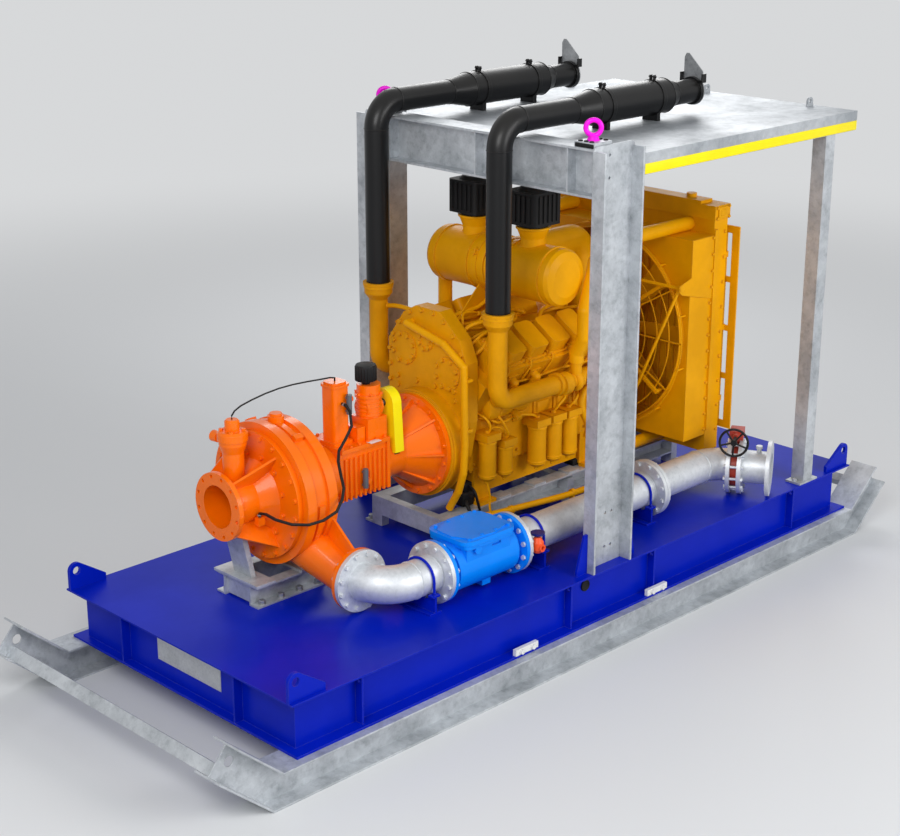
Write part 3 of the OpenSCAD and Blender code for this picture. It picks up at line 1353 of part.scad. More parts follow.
module sight_gauges() {
  color("gray") {
    gauge(tank_x + 34, tank_y - 61 - 25, vacuum_base_z + 190);
    gauge(bearing_x0 + 175, drive_y - bearing_w / 2 - 25, shaft_z - 90);
  }
}

// Pulley on the vacuum pump's own shaft
module vacuum_pulley() {
  x = bearing_x1 - 105;
  color("dimgray")
    translate([x, vacuum_y, vacuum_z]) along_x() {
      cylinder(h = pump_pulley_x - x + 14, r = 16);
      translate([0, 0, pump_pulley_x - x - 18]) pulley(vacuum_pulley_r, 36);
    }
}

// Bright guard over the belt, open towards the coupling neck
module belt_guard() {
  guard_w = 70;
  wall = 4;
  top_r = vacuum_pulley_r + 26;
  low_r = 172;
  color("yellow")
    difference() {
      translate([pump_pulley_x - guard_w / 2, 0, 0]) rotate([90, 0, 90])
        linear_extrude(guard_w) polygon(belt_outline([drive_y, shaft_z], low_r, [vacuum_y, vacuum_z], top_r));
      translate([pump_pulley_x - guard_w / 2 + wall, 0, 0]) rotate([90, 0, 90])
        linear_extrude(guard_w - 2 * wall)
          polygon(belt_outline([drive_y, shaft_z], low_r - wall, [vacuum_y, vacuum_z], top_r - wall));
      // the pump's shaft passes through, and the neck takes the lower part
      translate([pump_pulley_x - guard_w, vacuum_y, vacuum_z]) along_x() cylinder(h = guard_w, r = 24);
      on_shaft(bearing_x1 - 10) cylinder(h = neck_l + 20, r = 150 + seat);
      on_shaft(bearing_x1 - 10) cylinder(h = 26 + seat, r = 162 + seat);
      translate([bearing_x1 - 20, drive_y - 400, shaft_z - 300]) cube([200, 800, 355]);
    }
}

// Thin lines: black sensing hose round the casing and grey vent line over it
hose_r = 9;
vent_r = 5;
// from the boss on the suction cover, round the casing and up to the tank
hose_points = concat(
  [for (p = [[188, -143, -73.7], [188, -143, -52], [188, -200, -40], [193, -280, -52], [233, -375, -65]])
    [suction_x, drive_y, shaft_z] + p],
  [for (p = [[-245, -445, -65], [-160, -470, -55], [-60, -470, -30], [0, -450, 20], [45, -415, 70],
             [90, -340, 115], [150, -250, 160]])
    [casing_x1, drive_y, shaft_z] + p],
  [for (p = [[-135, -180, -230], [-65, -166, -170], [-15, -160, -110], [0, -130, -30], [0, -90, 0],
             [0, -61 - seat, 0]])
    [tank_x, tank_y, vacuum_base_z + 255] + p]);
// from the priming chamber's lid, over the casing and down on the tank's lid
vent_points = concat(
  [for (p = [[0, 0, 195 + seat], [0, 0, 215], [21, 0, 238], [66, 0, 258], [146, 0, 275]])
    [suction_x + 127, drive_y, chamber_z0] + p],
  [for (p = [[-170, 0, 165], [-70, 0, 173], [30, 0, 173], [130, -5, 169]])
    [casing_x1, drive_y, shaft_z + casing_r] + p],
  [for (p = [[-105, 8, 30], [-35, 2, 27], [0, 0, 18], [0, 0, seat]])
    [tank_x, tank_y, tank_top] + p]);

// Ring of points round a place on a route, square to the way it runs
function way(p, i) = p[min(i + 1, len(p) - 1)] - p[max(i - 1, 0)];
function side_of(d) = let (s = cross(d, abs(d.z) > 0.9 * norm(d) ? [1, 0, 0] : [0, 0, 1])) s / norm(s);
function up_of(d, s) = let (u = cross(d, s)) u / norm(u);
module swept_line(p, r, sides = 8) {
  rings = [for (i = [0 : len(p) - 1]) let (d = way(p, i), s = side_of(d), u = up_of(d, s))
    [for (k = [0 : sides - 1]) p[i] + r * (cos(k * 360 / sides) * s + sin(k * 360 / sides) * u)]];
  last = len(p) - 1;
  polyhedron(
    points = [for (g = rings) for (q = g) q],
    faces = concat(
      [[for (k = [0 : sides - 1]) k]],
      [for (i = [0 : last - 1], k = [0 : sides - 1])
        [i * sides + k, (i + 1) * sides + k, (i + 1) * sides + (k + 1) % sides, i * sides + (k + 1) % sides]],
      [[for (k = [sides - 1 : -1 : 0]) last * sides + k]]));
}

module pump_lines() {
  color("#181818") swept_line(hose_points, hose_r);
  color("gray") swept_line(vent_points, vent_r);
}

// Stand under the suction end: two rails, two pads and their legs
module pedestal() {
  rail_h = 132;
  rail_x0 = suction_x + 110;
  rail_l = 560;
  near_y = drive_y - 122;
  far_y = drive_y + 112;
  lip = 72;
  pad_t = 16;
  rear_leg_x = casing_x1 - 50;
  color("darkgray") {
    for (rail = [[near_y, -1], [far_y, 1]])
      translate([rail_x0, rail[0], deck_z]) {
        translate([0, -6, 0]) cube([rail_l, 12, rail_h]);
        for (z = [0, rail_h - 12]) translate([0, rail[1] > 0 ? -6 : -lip, z]) cube([rail_l, lip + 6, 12]);
      }
    translate([rail_x0 + 20, near_y, deck_z + 10]) cube([12, far_y - near_y, rail_h - 10]);
    translate([rail_x0 + rail_l - 60, near_y, deck_z + 10]) cube([12, far_y - near_y, rail_h - 10]);
    for (x = [rail_x0 - 10, rear_leg_x - 60])
      translate([x, near_y - lip - 10, deck_z + rail_h - 1]) cube([140, far_y - near_y + 2 * lip + 20, pad_t + 1]);
    // sloping leg under the suction spool and upright leg under the casing
    leg_top = shaft_z - suction_bore / 2 - 14;
    difference() {
      translate([0, drive_y + 80, 0]) rotate([90, 0, 0]) linear_extrude(160)
        polygon([[rail_x0 + 50, deck_z + rail_h + pad_t - 1], [rail_x0 + 84, deck_z + rail_h + pad_t - 1],
                 [suction_x + 124, leg_top], [suction_x + 90, leg_top]]);
      on_shaft(suction_x + 20) cylinder(h = spool_l, r = suction_bore / 2 + 14 + seat);
    }
    difference() {
      translate([rear_leg_x, drive_y - 90, deck_z + rail_h + pad_t - 1]) cube([26, 220, 90]);
      on_shaft(rear_leg_x - 20) cylinder(h = 80, r = casing_r - rear_band_drop + seat);
    }
  }
}

// Hollow length of pipe along Z, with a flange at its start, at its end or at both
module flanged_pipe(l, first, last) {
  rim = flange_od / 2;
  wall = pipe_od / 2;
  difference() {
    rotate_extrude() polygon(concat(
      [[pipe_bore / 2, l], [pipe_bore / 2, 0]],
      first ? [[rim, 0], [rim, flange_t], [wall, flange_t]] : [[wall, 0]],
      last ? [[wall, l - flange_t], [rim, l - flange_t], [rim, l]] : [[wall, l]]));
    for (z = concat(first ? [-1] : [], last ? [l - flange_t - 1] : []))
      translate([0, 0, z]) ring(flange_holes, 180 / flange_holes)
        translate([flange_pcd / 2, 0, 0]) cylinder(h = flange_t + 2, d = bolt_hole_d);
  }
}

module pipe_bend(r, angle) {
  rotate_extrude(angle = angle) translate([r, 0]) difference() {
    circle(d = pipe_od);
    circle(d = pipe_bore);
  }
}

// Bend from the casing's nozzle round to the check valve
module discharge_elbow() {
  start_y = nozzle_face_y - seat;
  run_x = check_x0 - nozzle_x - elbow_r - seat;
  color("gainsboro") translate([nozzle_x, 0, pipe_z]) {
    translate([0, start_y, 0]) rotate([90, 0, 0]) flanged_pipe(start_y + pipe_y - elbow_r, true, false);
    translate([elbow_r, -pipe_y + elbow_r, 0]) rotate([0, 0, 180]) pipe_bend(elbow_r, 90);
    translate([elbow_r, -pipe_y, 0]) along_x() flanged_pipe(run_x, false, true);
  }
}

// Swing check valve: body, lozenge cover and the seat inside
flap_hinge = [check_x0 + 205, -pipe_y, pipe_z + 122];
check_pin_r = 9;
cover_z = pipe_z + 165;
module check_valve() {
  body_r = 152;
  mid = (check_x0 + check_x1) / 2;
  seat_x = check_x0 + 170;
  chamber_l = 300;
  color("dodgerblue")
    difference() {
      union() {
        for (x = [check_x0, check_x1 - flange_t])
          translate([x, -pipe_y, pipe_z]) along_x() pipe_flange();
        translate([check_x0 + 1, -pipe_y, pipe_z]) along_x() cylinder(h = check_l - 2, r = pipe_od / 2 + 12);
        translate([check_x0 + 70, -pipe_y, pipe_z]) along_x() cylinder(h = check_l - 130, r = body_r);
        translate([mid - 180, -pipe_y - 140, pipe_z]) cube([360, 280, cover_z - pipe_z]);
        translate([mid, -pipe_y, cover_z - 26]) round_plate(400, 330, 26, 40);
        translate([mid, -pipe_y, cover_z - 1]) round_plate(430, 350, 27, 70);
        translate([mid, -pipe_y, cover_z + 25]) linear_extrude(10)
          polygon([[-205, -40], [-150, -150], [20, -165], [190, -120], [205, 60], [150, 160], [-40, 165], [-195, 90]]);
        for (x = [-170, -60, 60, 170], y = [-150, 150])
          translate([mid + x * 0.95, -pipe_y + y * 0.92, cover_z + 20]) cylinder(h = 22, d = 24, $fn = 6);
        for (side = [-1, 1])
          translate([flap_hinge.x, -pipe_y + side * 140 - 22, flap_hinge.z]) along_y() cylinder(h = 44, r = 26);
        translate([mid + 30, -pipe_y - 60, pipe_z - body_r - 24]) cube([70, 120, 40]);
      }
      translate([check_x0 - 1, -pipe_y, pipe_z]) along_x() cylinder(h = check_l + 2, d = pipe_bore);
      translate([seat_x, -pipe_y, pipe_z]) along_x() cylinder(h = chamber_l, r = body_r - 14);
      translate([seat_x, -pipe_y - 126, pipe_z]) cube([chamber_l, 252, cover_z - pipe_z - 14]);
      // inspection slot below the cover
      translate([mid + 30, -pipe_y - 142, cover_z - 62]) cube([70, 14, 14]);
    }
  // hinge pin through the body's ears
  color("silver")
    translate([flap_hinge.x, -pipe_y - 126 - 1, flap_hinge.z]) along_y() cylinder(h = 254, r = check_pin_r);
}

module check_flap() {
  seat_x = check_x0 + 170;
  disc_r = pipe_bore / 2 + 10;
  color("dimgray")
    difference() {
      union() {
        translate([seat_x + seat, -pipe_y, pipe_z]) along_x() cylinder(h = 16, r = disc_r);
        translate([seat_x + 14, -pipe_y - 30, pipe_z - 20]) cube([22, 60, flap_hinge.z - pipe_z + 20]);
        translate([flap_hinge.x, -pipe_y - 60, flap_hinge.z]) along_y() cylinder(h = 120, r = 20);
      }
      translate([flap_hinge.x, -pipe_y - 70, flap_hinge.z]) along_y() cylinder(h = 140, r = check_pin_r + run_gap);
    }
}

// Straight run from the check valve to the flange pair, with the tap's branch
module discharge_pipe() {
  x0 = check_x1 + seat;
  color("gainsboro") {
    translate([x0, -pipe_y, pipe_z]) along_x() {
      flanged_pipe(pair_x - x0, true, true);
      // gasket between the two flanges of the pair
      translate([0, 0, pair_x - x0 - 1]) tube(pair_gap - seat + 1, flange_pcd / 2 - 14, pipe_bore / 2 + 1);
    }
    difference() {
      translate([tap_x, tap_y, tap_z - 26]) along_y() cylinder(h = -tap_y - pipe_y, r = branch_r);
      translate([tap_x - 20, -pipe_y, pipe_z]) along_x() cylinder(h = 40, d = (pipe_od + pipe_bore) / 2);
    }
  }
}

// Second run, from the flange pair round the bend to the butterfly valve
module outlet_bend() {
  x0 = pair_x + pair_gap;
  color("gainsboro") {
    translate([x0, -pipe_y, pipe_z]) along_x() rotate([0, 0, 30]) flanged_pipe(bend_x - x0, true, false);
    translate([bend_x, -pipe_y - bend_r, pipe_z]) rotate([0, 0, 90 - outlet_angle]) {
      pipe_bend(bend_r, outlet_angle);
      translate([bend_r, 0, 0]) rotate([90, 0, 0]) flanged_pipe(bend_flange_l, false, true);
    }
  }
}

// Puts a piece on the outlet's own line, drawn along X from the valve's middle
module on_outlet() translate([valve_at.x, valve_at.y, pipe_z]) rotate([0, 0, -outlet_angle]) children();

stem_r = 14;
wheel_r = 100;
wheel_z = 226;
wheel_reach = 196;
module butterfly_valve() {
  color("firebrick")
    difference() {
      union() {
        on_outlet() translate([-valve_w / 2 + seat, 0, 0]) along_x() cylinder(h = valve_w - 2 * seat, r = 138);
        on_outlet() translate([0, 0, 120]) cylinder(h = 68, r = 21);
        on_outlet() translate([-24, -46, 187]) cube([48, 92, 12]);
        on_outlet() translate([0, 0, -150]) cylinder(h = 30, r = 21);
      }
      on_outlet() translate([-valve_w, 0, 0]) along_x() cylinder(h = 2 * valve_w, r = pipe_bore / 2 - 2);
      on_outlet() translate([0, 0, -140]) cylinder(h = 360, r = stem_r + run_gap);
    }
  // gearbox on the valve's neck, with the wheel's shaft bearing
  color("dimgray")
    difference() {
      union() {
        on_outlet() translate([-45, -60, 199 + seat]) cube([90, 120, 60]);
        on_outlet() translate([0, -100, wheel_z]) along_y() cylinder(h = 60, r = 24);
      }
      on_outlet() translate([0, 0, 190]) cylinder(h = 50, r = stem_r + gap);
      on_outlet() translate([0, -220, wheel_z]) along_y() cylinder(h = 200, r = 11 + run_gap);
    }
}

module butterfly_disc() {
  color("silver") {
    on_outlet() translate([-6, 0, 0]) along_x() cylinder(h = 12, r = pipe_bore / 2 - 3);
    on_outlet() translate([0, 0, -136]) cylinder(h = 350, r = stem_r);
  }
}

module handwheel() {
  rim_r = 8;
  color("#202020")
    on_outlet() translate([0, -wheel_reach, wheel_z]) along_y() {
      rotate_extrude() translate([wheel_r - rim_r, 0]) circle(r = rim_r, $fn = 24);
      ring(5, 20) translate([14, 0, 0]) rotate([0, 90, 0]) cylinder(h = wheel_r - rim_r - 14, r = 6, $fn = 16);
      translate([0, 0, -12]) cylinder(h = 28, r = 20);
      translate([0, 0, 15]) cylinder(h = wheel_reach - 40, r = 11);
    }
}

// Outlet length after the valve, with its end flange and a small plug
module discharge_spool() {
  x0 = valve_w / 2 + seat;
  color("gainsboro")
    difference() {
      union() {
        on_outlet() translate([x0, 0, 0]) along_x() flanged_pipe(outlet_l, true, true);
        on_outlet() translate([x0 + 128, 0, pipe_od / 2 - 8]) cylinder(h = 32, r = 16);
        on_outlet() translate([x0 + 128, 0, pipe_od / 2 + 23]) cylinder(h = 20, d = 44, $fn = 8);
      }
      on_outlet() translate([x0 - 1, 0, 0]) along_x() cylinder(h = outlet_l + 2, d = pipe_bore);
    }
}

// Small tap on a branch of the pipe
tap_x = check_x1 + 90;
tap_y = -pipe_y - 158;
tap_z = pipe_z + 20;
branch_r = 15;
module tap_body() {
  color("tomato")
    difference() {
      union() {
        translate([tap_x, tap_y, tap_z - 62]) cylinder(h = 20, r1 = 24, r2 = 38);
        translate([tap_x, tap_y, tap_z - 42]) cylinder(h = 44, r = 38);
        translate([tap_x, tap_y, tap_z + 1]) cylinder(h = 34, r1 = 38, r2 = 20);
        translate([tap_x, tap_y - 44, tap_z - 26]) along_y() cylinder(h = 88 - seat, r = 24);
      }
      translate([tap_x, tap_y - 45, tap_z - 26]) along_y() cylinder(h = 40, r = 13);
      translate([tap_x, tap_y, tap_z - 20]) cylinder(h = 60, r = 6 + run_gap);
      translate([tap_x, tap_y, tap_z - 26]) along_y() cylinder(h = 50, r = branch_r + seat);
    }
}

module tap_handle() {
  color("navy")
    translate([tap_x, tap_y, tap_z]) {
      translate([0, 0, -10]) cylinder(h = 74, r = 6);
      translate([0, 0, 46]) cylinder(h = 8, r1 = 16, r2 = 40);
      translate([0, 0, 54]) cylinder(h = 12, r = 43);
    }
}

// Saddles under the pipe, each with a strap bent over it
support_places = [check_x0 - 110, check_x1 + 190, pair_x - 90];
module pipe_supports() {
  plate_t = 14;
  strap_r = 8;
  ring_r = pipe_od / 2 + strap_r + seat;
  for (x = support_places)
    translate([x, -pipe_y, pipe_z]) {
      color("mediumblue") {
        difference() {
          translate([-plate_t / 2, -130, -pipe_h]) cube([plate_t, 260, pipe_h - 62]);
          translate([-plate_t, 0, 0]) along_x() cylinder(h = 2 * plate_t, r = ring_r + strap_r + seat);
          translate([-plate_t, 0, 0]) along_x() cylinder(h = 2 * plate_t, r = pipe_od / 2 + seat);
        }
        translate([-45, -130, -pipe_h]) cube([90, 260, 12]);
        translate([-plate_t / 2, -40, -pipe_h + 10]) cube([plate_t, 80, pipe_h - pipe_od / 2 - 10 - seat]);
        for (side = [-1, 1])
          translate([-30, side * ring_r - 20, -84]) cube([60, 40, 12]);
        for (side = [-1, 1])
          translate([-plate_t / 2, side * (ring_r + 2) - 12, -pipe_h + 10]) cube([plate_t, 24, pipe_h - 93]);
      }
      color("gainsboro") {
        rotate([0, -90, 180]) rotate([0, 0, -90]) rotate_extrude(angle = 180) translate([ring_r, 0]) circle(r = strap_r, $fn = 24);
        for (side = [-1, 1]) translate([0, side * ring_r, -71]) cylinder(h = 71, r = strap_r);
      }
    }
}

// Bolts of the flanged joints: a head, a shank and a nut, as one solid each
module joint_bolts(grip) {
  ring(flange_holes, 180 / flange_holes)
    translate([flange_pcd / 2, 0, 0]) {
      translate([0, 0, -13 - seat]) cylinder(h = 13, d = 32, $fn = 6);
      translate([0, 0, -1 - seat]) cylinder(h = grip + 2 + 2 * seat, d = bolt_hole_d - 3);
      translate([0, 0, grip + seat]) cylinder(h = 16, d = 32, $fn = 6);
    }
}

module flange_bolts() {
  two = 2 * flange_t + seat;
  color("gainsboro") {
    translate([nozzle_x, nozzle_face_y + flange_t, pipe_z]) rotate([90, 0, 0]) joint_bolts(two);
    translate([check_x0 - flange_t - seat, -pipe_y, pipe_z]) along_x() joint_bolts(two);
    translate([check_x1 - flange_t, -pipe_y, pipe_z]) along_x() joint_bolts(two);
    translate([pair_x - flange_t, -pipe_y, pipe_z]) along_x() joint_bolts(2 * flange_t + pair_gap);
    on_outlet() translate([-valve_w / 2 - flange_t, 0, 0]) along_x() joint_bolts(2 * flange_t + valve_w + seat);
  }
}

skid_frame();
base_tank();
lifting_lugs();
name_plate();
tank_fittings();
columns();
roof_beam();
roof_panel();
rear_posts();
near_eye();
far_eye();
engine_frame();
engine_block();
oil_sump();
rear_housing();
crankshaft();
cylinder_heads();
exhaust_manifolds();
turbochargers();
union() {
  exhaust_stacks();
  flap_hinges();
}
near_rain_flap();
far_rain_flap();
air_cleaners();
precleaners();
breather_pipe();
engine_filters();
radiator_pipes();
radiator();
fan_shroud();
cooling_fan();
fan_guard();
stone_guard();
drive_belts();
suction_cover();
priming_chamber();
casing();
impeller();
pump_shaft();
bearing_housing();
bell_housing();
vacuum_pump();
separator_tank();
sight_gauges();
vacuum_pulley();
belt_guard();
pump_lines();
pedestal();
discharge_elbow();
check_valve();
check_flap();
discharge_pipe();
outlet_bend();
butterfly_valve();
butterfly_disc();
handwheel();
discharge_spool();
tap_body();
tap_handle();
pipe_supports();
flange_bolts();
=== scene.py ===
# %% [markdown]
# # A diesel dewatering pump on a skid
# The solid model gives every part its exact size and place. This lesson
# dresses it: each part gets a worked-up paint or metal, and the small things
# that a solid model leaves out, such as hoses, bolts and brackets, are
# modelled on top. Everything is in metres. X runs from the pump to the
# radiator, -Y is the side with the discharge pipe, and Z is up.

# %% Load the solid model
import bpy, bmesh, math
from mathutils import Matrix, Vector


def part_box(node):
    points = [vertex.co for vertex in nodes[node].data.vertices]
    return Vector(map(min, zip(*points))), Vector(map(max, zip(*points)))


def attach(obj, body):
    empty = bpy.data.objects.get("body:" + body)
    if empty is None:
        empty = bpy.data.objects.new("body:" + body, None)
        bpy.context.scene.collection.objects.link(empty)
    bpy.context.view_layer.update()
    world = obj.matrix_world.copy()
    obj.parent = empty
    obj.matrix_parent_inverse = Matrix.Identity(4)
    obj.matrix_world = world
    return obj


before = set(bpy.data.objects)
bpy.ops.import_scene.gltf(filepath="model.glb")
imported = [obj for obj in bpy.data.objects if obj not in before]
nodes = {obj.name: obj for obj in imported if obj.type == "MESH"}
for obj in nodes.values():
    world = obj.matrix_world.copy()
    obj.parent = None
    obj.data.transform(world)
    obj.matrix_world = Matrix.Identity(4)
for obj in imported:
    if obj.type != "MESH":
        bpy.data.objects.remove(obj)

bpy.ops.object.select_all(action="DESELECT")
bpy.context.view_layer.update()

# %% [markdown]
# The photograph was taken with a long lens from the pump end, a little above
# the roof. A long lens keeps parallel edges nearly parallel, which is why the
# skid's far end hardly looks smaller. The camera comes first, so that each
# piece can be judged in its final view.

# %% Camera
camera_data = bpy.data.cameras.new("camera")
camera_data.lens = 71.39
camera_data.sensor_width = 36
camera_data.clip_end = 100
camera = bpy.data.objects.new("camera", camera_data)
camera.location = (-7.6505, -7.3992, 4.8527)
camera.rotation_euler = (math.radians(90 - 18.758), 0, math.radians(-44.734))
bpy.context.scene.collection.objects.link(camera)
bpy.context.scene.camera = camera
print("camera", tuple(camera.location), "lens", camera_data.lens)

# %% [markdown]
# A studio shot needs a pale floor that takes the shadow and three soft lamps.
# Large area lamps give the broad reflections that show the roundness of
# paint and pipes. The view transform is Standard, so a colour renders as it
# is written.

# %% Floor and lamps
bpy.context.scene.view_settings.view_transform = "Standard"


def linear(hex_colour):
    """Turns a screen colour such as #FF6A0A into the values that a shader uses."""
    parts = [int(hex_colour[i:i + 2], 16) / 255 for i in (1, 3, 5)]
    return [c / 12.92 if c <= 0.04045 else ((c + 0.055) / 1.055) ** 2.4 for c in parts] + [1]


def lamp(name, place, size, watts, target=(0, 0, 1.2)):
    data = bpy.data.lights.new(name, "AREA")
    data.shape = "RECTANGLE"
    data.size, data.size_y = size
    data.energy = watts
    item = bpy.data.objects.new(name, data)
    item.location = place
    item.rotation_euler = (Vector(target) - Vector(place)).to_track_quat("-Z", "Y").to_euler()
    bpy.context.scene.collection.objects.link(item)
    return item


lamp("key", (-7.0, -4.0, 6.0), (4, 4), 380)
lamp("fill", (1.5, -9, 4.5), (6, 4), 450)
lamp("rim", (6, 5, 6), (5, 4), 260)

bpy.ops.mesh.primitive_plane_add(size=240, location=(0, 0, -0.001))
floor = bpy.context.active_object
floor.name = "floor"
floor_material = bpy.data.materials.new("pale floor")
floor_material.use_nodes = True
floor_shader = floor_material.node_tree.nodes["Principled BSDF"]
floor_shader.inputs["Base Color"].default_value = (0.74, 0.75, 0.76, 1)
floor_shader.inputs["Roughness"].default_value = 0.9
floor_shader.inputs["Specular IOR Level"].default_value = 0.1
floor.data.materials.append(floor_material)


def seen_directly(tree, share=None):
    """1 for camera, glossy and transmitted rays, times share; lamps and shadows aren't touched by it."""
    rays = tree.nodes.new("ShaderNodeLightPath")
    result = rays.outputs["Is Camera Ray"]
    for other in (rays.outputs["Is Glossy Ray"], rays.outputs["Is Transmission Ray"], share):
        if other:
            step = tree.nodes.new("ShaderNodeMath")
            step.operation = "MULTIPLY" if other == share else "ADD"
            step.use_clamp = True
            tree.links.new(result, step.inputs[0])
            tree.links.new(other, step.inputs[1])
            result = step.outputs[0]
    return result


def blend_shaders(tree, share, near, far, surface):
    blend = tree.nodes.new("ShaderNodeMixShader")
    for place, source in enumerate((share, near, far)):
        tree.links.new(source, blend.inputs[place])
    tree.links.new(blend.outputs[0], surface)


far_colour = (0.68, 0.69, 0.70, 1)
floor_tree = floor_material.node_tree
far_floor = floor_tree.nodes.new("ShaderNodeEmission")
far_floor.inputs["Color"].default_value = far_colour
ground_place = floor_tree.nodes.new("ShaderNodeTexCoord")
distance = floor_tree.nodes.new("ShaderNodeVectorMath")
distance.operation = "LENGTH"
far_share = floor_tree.nodes.new("ShaderNodeMapRange")
far_share.interpolation_type = "SMOOTHSTEP"
far_share.inputs["From Min"].default_value = 3.5
far_share.inputs["From Max"].default_value = 15.0
floor_tree.links.new(ground_place.outputs["Object"], distance.inputs[0])
floor_tree.links.new(distance.outputs["Value"], far_share.inputs["Value"])
blend_shaders(floor_tree, seen_directly(floor_tree, far_share.outputs["Result"]), floor_shader.outputs[0],
              far_floor.outputs[0], floor_tree.nodes["Material Output"].inputs["Surface"])

world = bpy.data.worlds.new("studio")
bpy.context.scene.world = world
world.use_nodes = True
sky = world.node_tree.nodes["Background"]
sky.inputs["Color"].default_value = (0.80, 0.82, 0.85, 1)
sky.inputs["Strength"].default_value = 0.42
far_wall = world.node_tree.nodes.new("ShaderNodeBackground")
far_wall.inputs["Color"].default_value = far_colour
blend_shaders(world.node_tree, seen_directly(world.node_tree), sky.outputs[0], far_wall.outputs[0],
              world.node_tree.nodes["World Output"].inputs["Surface"])

# %% [markdown]
# Real paint on steel is never one flat colour. It has a fine orange-peel
# ripple, a little dust that settles on level faces, faint colour drift from
# coat to coat, and worn corners where bare metal shows. Each of these effects
# is a node group, built once and reused with its own values, so that every
# paint on the pump shares the same behaviour.

# %% Helpers for node groups
def new_group(name, inputs, outputs):
    """An empty shader group whose sockets are given as {name: default}."""
    group = bpy.data.node_groups.new(name, "ShaderNodeTree")
    kinds = {float: "NodeSocketFloat", list: "NodeSocketColor", None: "NodeSocketVector"}
    for label, value in inputs.items():
        kind = kinds[type(value)] if value is not None else kinds[None]
        socket = group.interface.new_socket(label, in_out="INPUT", socket_type=kind)
        if value is not None:
            socket.default_value = value
    for label, kind in outputs.items():
        group.interface.new_socket(label, in_out="OUTPUT", socket_type="NodeSocket" + kind)
    return group, group.nodes.new("NodeGroupInput"), group.nodes.new("NodeGroupOutput")


def node(tree, kind, **settings):
    """Adds a shader node; settings named in_X set the socket X, the rest are properties."""
    item = tree.nodes.new("ShaderNode" + kind)
    for key, value in settings.items():
        if key.startswith("in_"):
            label = key[3:].replace("_", " ")
            item.inputs[int(label) if label.isdigit() else label].default_value = value
        else:
            setattr(item, key, value)
    return item


def ramp(tree, source, stops):
    """A colour ramp fed by source, with stops as (position, grey or colour)."""
    item = tree.nodes.new("ShaderNodeValToRGB")
    while len(item.color_ramp.elements) < len(stops):
        item.color_ramp.elements.new(0.5)
    for element, (place, shade) in zip(item.color_ramp.elements, stops):
        element.position = place
        element.color = shade if isinstance(shade, (list, tuple)) else (shade, shade, shade, 1)
    tree.links.new(source, item.inputs[0])
    return item.outputs["Color"]


def mix(tree, share, a, b, mode="MIX"):
    """Mixes two colours; each input is a socket or a plain value."""
    item = node(tree, "Mix", data_type="RGBA", blend_type=mode)
    for place, value in ((0, share), (6, a), (7, b)):
        if isinstance(value, bpy.types.NodeSocket):
            tree.links.new(value, item.inputs[place])
        else:
            item.inputs[place].default_value = value
    return item.outputs[2]


def calc(tree, operation, a, b=0.0, clamp=False):
    """One step of arithmetic on sockets or plain values."""
    item = node(tree, "Math", operation=operation, use_clamp=clamp)
    for place, value in ((0, a), (1, b)):
        if isinstance(value, bpy.types.NodeSocket):
            tree.links.new(value, item.inputs[place])
        else:
            item.inputs[place].default_value = value
    return item.outputs[0]


# %% [markdown]
# A bevel node looks at the surface round each point and gives the normal that
# a small rounding would have. Where that differs from the true normal there
# is a corner, so one node both softens the corners and says where they are.

# %% Group: worn corners
wear_group, wear_in, wear_out = new_group(
    "worn_corners", {"Radius": 0.003, "Amount": 0.5}, {"Mask": "Float", "Normal": "Vector"})
wear_tree = wear_group
bevel = node(wear_tree, "Bevel", samples=4)
wear_tree.links.new(wear_in.outputs["Radius"], bevel.inputs["Radius"])
true_normal = node(wear_tree, "NewGeometry")
closeness = node(wear_tree, "VectorMath", operation="DOT_PRODUCT")
wear_tree.links.new(bevel.outputs[0], closeness.inputs[0])
wear_tree.links.new(true_normal.outputs["Normal"], closeness.inputs[1])
corner = calc(wear_tree, "SUBTRACT", 1.0, closeness.outputs["Value"], clamp=True)
places = node(wear_tree, "TexCoord")
patches = node(wear_tree, "TexNoise", in_Scale=14.0, in_Detail=4.0, in_Roughness=0.7)
wear_tree.links.new(places.outputs["Object"], patches.inputs["Vector"])
patchy = calc(wear_tree, "MULTIPLY", corner, calc(wear_tree, "POWER", patches.outputs[0], 2.0))
strong = calc(wear_tree, "MULTIPLY", patchy, calc(wear_tree, "MULTIPLY", wear_in.outputs["Amount"], 16.0), clamp=True)
wear_tree.links.new(strong, wear_out.inputs["Mask"])
wear_tree.links.new(bevel.outputs[0], wear_out.inputs["Normal"])
print("group", wear_group.name)

# %% Group: film of paint
film_group, film_in, film_out = new_group(
    "paint_film",
    {"Colour": [0.8, 0.8, 0.8, 1.0], "Drift": 0.12, "Dust": 0.1, "Rough": 0.35, "Cast": 0.0},
    {"Colour": "Color", "Roughness": "Float", "Height": "Float"})
film_tree = film_group
places = node(film_tree, "TexCoord")
drift = node(film_tree, "TexNoise", in_Scale=2.2, in_Detail=5.0, in_Roughness=0.62)
peel = node(film_tree, "TexNoise", in_Scale=320.0, in_Detail=1.0)
grit = node(film_tree, "TexNoise", in_Scale=95.0, in_Detail=5.0, in_Roughness=0.75)
for texture in (drift, peel, grit):
    film_tree.links.new(places.outputs["Object"], texture.inputs["Vector"])
darker = mix(film_tree, 1.0, film_in.outputs["Colour"], (0.55, 0.5, 0.5, 1), "MULTIPLY")
shade = calc(film_tree, "MULTIPLY", ramp(film_tree, drift.outputs[0], [(0.38, 0.0), (0.66, 1.0)]), film_in.outputs["Drift"])
drifted = mix(film_tree, shade, film_in.outputs["Colour"], darker)
facing = node(film_tree, "NewGeometry")
upward = node(film_tree, "SeparateXYZ")
film_tree.links.new(facing.outputs["Normal"], upward.inputs[0])
